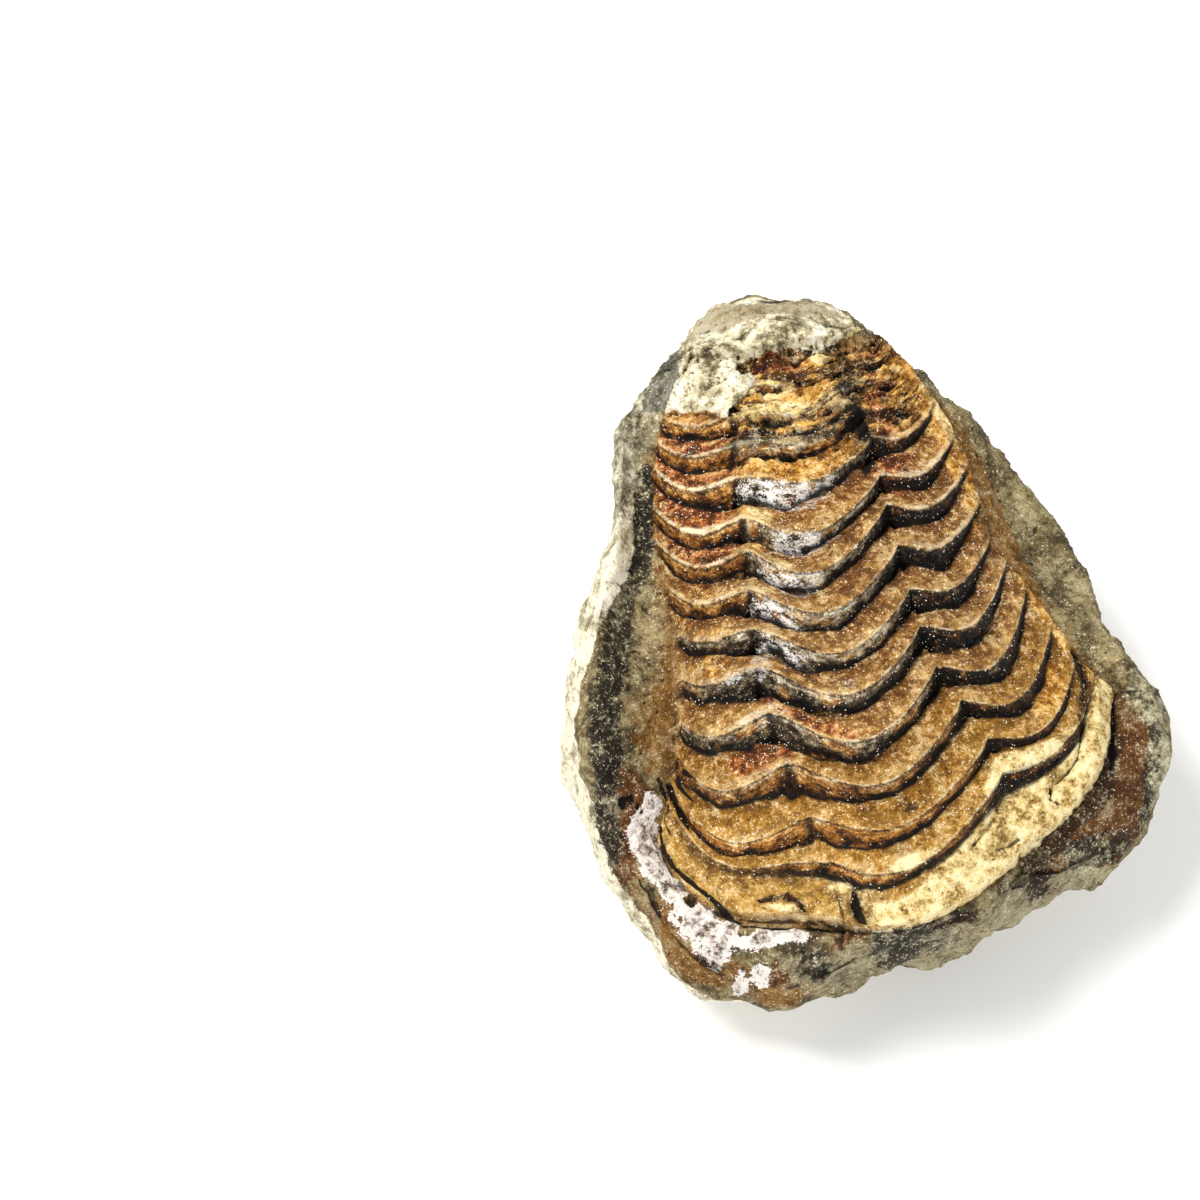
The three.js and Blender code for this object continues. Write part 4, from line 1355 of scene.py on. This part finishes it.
class NoduleSettings(bpy.types.PropertyGroup):
    """Fineness and weathering of the nodule half."""

    columns: whole_number("Columns", "Mesh columns across the three lobes", 150, 30, 300)
    rows_per_rib: whole_number("Rows per rib", "Mesh rows from one rib lip to the next", 26, 5, 60)
    matrix_rings: whole_number("Matrix rings", "Mesh rings from the fossil to the rim", 20, 6, 40)
    rim_rings: whole_number("Rim rings", "Mesh rings from the rim to the widest line", 6, 2, 12)
    underside_rings: whole_number("Underside rings", "Mesh rings under to the flat", 10, 5, 20)
    step_scale: factor("Step scale", "Height of the rib steps, as a share", 1.0, 1.5)
    crevice_depth: factor("Crevice depth", "Extra depth at the scarp's foot", 0.3)
    raggedness: factor("Raggedness", "How far the rib lips wander", 0.16, 0.4)
    lump_height: length("Lump height", "Height of the stone's lumps", 0.0011, 0.003)
    grain_height: length("Grain height", "Height of the stone's grain", 0.0008, 0.002)
    pit_depth: length("Pit depth", "Depth of the pits in the matrix", 0.00015, 0.001)
    layer_height: length("Layer height", "Height of the fine layers across the tail", 0.0029, 0.004)
    chip_depth: factor("Chip depth", "Depth of the chips, as a share of the step", 0.3)
    seed: FloatProperty(name="Seed", description="Fixed seed of the weathering", default=30.0)


class GrainSettings(bpy.types.PropertyGroup):
    """Loose crystal grains on the face."""

    density: FloatProperty(
        name="Density", description="Grains to a square millimetre where densest", default=0.9, min=0.0,
        max=3.0)
    smallest: length("Smallest", "Radius of the smallest grain", 0.00003, 0.0005)
    largest: length("Largest", "Radius of the largest grain", 0.0001, 0.0005)
    colour: colour_of("Colour", "Colour of the crystal", "F4EAD2")
    seed: IntProperty(name="Seed", description="Fixed seed of the scatter", default=11)


class ColourSettings(bpy.types.PropertyGroup):
    """Main colours of the stone."""

    ochre: colour_of("Ochre", "Ribs at the head end", "9A6C1E")
    brown: colour_of("Brown", "Ribs in the middle", "805424")
    orange: colour_of("Orange", "Ribs toward the tail", "8F5A20")
    cream: colour_of("Cream", "Lips of the ribs and pale patches", "E6CD8C")
    rust: colour_of("Rust", "Iron stains in the matrix", "633A12")
    rind: colour_of("Rind", "Weathered outside", "F0E9CE")


class StageSettings(bpy.types.PropertyGroup):
    """Camera, floor and lights."""

    elevation: FloatProperty(
        name="Elevation", description="Camera's angle above the floor", default=math.radians(62),
        subtype="ANGLE", unit="ROTATION")
    distance: FloatProperty(
        name="Distance", description="Camera's distance from the point it aims at", default=0.3,
        subtype="DISTANCE", unit="LENGTH")
    aim: FloatVectorProperty(
        name="Aim", description="Point that the camera aims at", default=(-0.0293, 0.00229, 0.022),
        subtype="TRANSLATION", unit="LENGTH")
    lens: FloatProperty(
        name="Lens", description="Focal length in mm on a 36 mm sensor", default=81.0, min=20.0, max=200.0,
        subtype="DISTANCE_CAMERA", unit="CAMERA")
    floor_colour: FloatVectorProperty(
        name="Floor colour", description="Colour of the floor", default=(0.92, 0.92, 0.91), size=3,
        subtype="COLOR")
    key_power: FloatProperty(
        name="Key power", description="Power of the main soft light", default=3.8, min=0.0,
        subtype="POWER", unit="POWER")
    fill_power: FloatProperty(
        name="Fill power", description="Power of the filling soft light", default=2.2, min=0.0,
        subtype="POWER", unit="POWER")
    sky: FloatProperty(
        name="Sky", description="Strength of the even light from all round", default=0.62, min=0.0)


# ------------------------------------------------------------------ stage


def add_floor(settings):
    """Plain pale floor under the specimen."""
    mesh = bpy.data.meshes.new("floor")
    corners = [(x * FLOOR_HALF, y * FLOOR_HALF, 0) for x, y in ((-1, -1), (1, -1), (1, 1), (-1, 1))]
    mesh.from_pydata(corners, [], [(0, 1, 2, 3)])
    mesh.materials.append(plain_material("Floor", settings.floor_colour, roughness=0.9))
    floor = bpy.data.objects.new("floor", mesh)
    bpy.context.collection.objects.link(floor)


def soft_light(name, power, place, size, colour):
    """Square area light aimed at the specimen."""
    light = bpy.data.lights.new(name, "AREA")
    light.energy = power
    light.size = size
    light.color = colour
    lamp = bpy.data.objects.new(name, light)
    lamp.location = place
    lamp.rotation_euler = (Vector(LIGHTS_AIM) - Vector(place)).to_track_quat("-Z", "Y").to_euler()
    bpy.context.collection.objects.link(lamp)


def add_lights(settings):
    """Soft key light from the far left, soft fill from the near right and an even sky."""
    for name, light in LIGHTS.items():
        soft_light(f"{name} light", getattr(settings, f"{name}_power"), *light)
    world = bpy.context.scene.world or bpy.data.worlds.new("Sky")
    bpy.context.scene.world = world
    world.use_nodes = True
    background = world.node_tree.nodes["Background"]
    background.inputs["Color"].default_value = (1.0, 1.0, 1.0, 1.0)
    background.inputs["Strength"].default_value = settings.sky


def add_camera(settings):
    """Camera looking along +Y and down on the fracture face."""
    data = bpy.data.cameras.new("camera")
    data.lens = settings.lens
    data.sensor_width = SENSOR_WIDTH_MM
    camera = bpy.data.objects.new("camera", data)
    away = Vector((0, -math.cos(settings.elevation), math.sin(settings.elevation)))
    camera.location = Vector(settings.aim) + away * settings.distance
    camera.rotation_euler = away.to_track_quat("Z", "Y").to_euler()
    bpy.context.collection.objects.link(camera)
    bpy.context.scene.camera = camera


# ------------------------------------------------------------------ operators and panel


def finish_piece(piece, tree, values):
    """Bakes a tree into a piece, keeps it inside the solid's box and smooths its shading."""
    tree.bake(piece, values)
    keep_inside(piece.data)
    piece.data.shade_smooth()


class FOSSIL_OT_nodule(bpy.types.Operator):
    """Build the nodule half with the trilobite on its fracture face"""
    bl_idname = "fossil.nodule"
    bl_label = "Nodule half"

    def execute(self, context):
        settings = context.scene.fossil_nodule
        piece = smooth_nodule(settings)
        finish_piece(piece, WeatheringTree(stone_material(context.scene.fossil_colours)), {
            "Step scale": settings.step_scale, "Crevice depth": settings.crevice_depth,
            "Raggedness": settings.raggedness, "Lump height": settings.lump_height / MM,
            "Grain height": settings.grain_height / MM, "Pit depth": settings.pit_depth / MM,
            "Chip depth": settings.chip_depth, "Layer height": settings.layer_height / MM,
            "Seed": settings.seed})
        add_hollows(piece.data)
        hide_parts(NODE)
        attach(piece, BODY)
        return {"FINISHED"}


class FOSSIL_OT_grains(bpy.types.Operator):
    """Scatter loose crystal grains over the nodule half"""
    bl_idname = "fossil.grains"
    bl_label = "Crystal grains"

    def execute(self, context):
        settings = context.scene.fossil_grains
        piece = bpy.data.objects.new("crystal_grains", bpy.data.objects[STONE_PIECE].data.copy())
        bpy.context.collection.objects.link(piece)
        material = plain_material("Crystal", settings.colour, roughness=0.4)
        finish_piece(piece, grains_tree(material), {
            "Density": settings.density / MM ** 2, "Smallest": settings.smallest,
            "Largest": settings.largest, "Seed": settings.seed})
        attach(piece, BODY)
        return {"FINISHED"}


class FOSSIL_OT_stage(bpy.types.Operator):
    """Set the floor, the lights and the camera"""
    bl_idname = "fossil.stage"
    bl_label = "Stage"

    def execute(self, context):
        settings = context.scene.fossil_stage
        add_floor(settings)
        add_lights(settings)
        add_camera(settings)
        return {"FINISHED"}


class FOSSIL_PT_panel(bpy.types.Panel):
    """Lists the operators and their settings"""
    bl_label = "Fossil trilobite"
    bl_idname = "FOSSIL_PT_panel"
    bl_space_type = "VIEW_3D"
    bl_region_type = "UI"
    bl_category = "Fossil"

    def draw(self, context):
        operators = {"fossil_nodule": "fossil.nodule", "fossil_grains": "fossil.grains",
                     "fossil_stage": "fossil.stage"}
        for group in SETTINGS:
            settings = getattr(context.scene, group)
            box = self.layout.box()
            for name in settings.__annotations__:
                box.prop(settings, name)
            if group in operators:
                box.operator(operators[group])


SETTINGS = {
    "fossil_nodule": NoduleSettings, "fossil_colours": ColourSettings, "fossil_grains": GrainSettings,
    "fossil_stage": StageSettings}
CLASSES = (
    *SETTINGS.values(), FOSSIL_OT_nodule, FOSSIL_OT_grains, FOSSIL_OT_stage, FOSSIL_PT_panel)


def register():
    """Registers the classes and hangs the settings on the scene."""
    for item in CLASSES:
        bpy.utils.register_class(item)
    for name, group in SETTINGS.items():
        setattr(bpy.types.Scene, name, PointerProperty(type=group))


def unregister():
    """Takes the settings and the classes away again."""
    for name in SETTINGS:
        delattr(bpy.types.Scene, name)
    for item in reversed(CLASSES):
        bpy.utils.unregister_class(item)


def main():
    """Builds everything in order."""
    register()
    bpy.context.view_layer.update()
    bpy.ops.fossil.nodule()
    bpy.ops.fossil.grains()
    bpy.ops.fossil.stage()
    bpy.context.scene.view_settings.view_transform = "Standard"


if __name__ == "__main__":
    main()
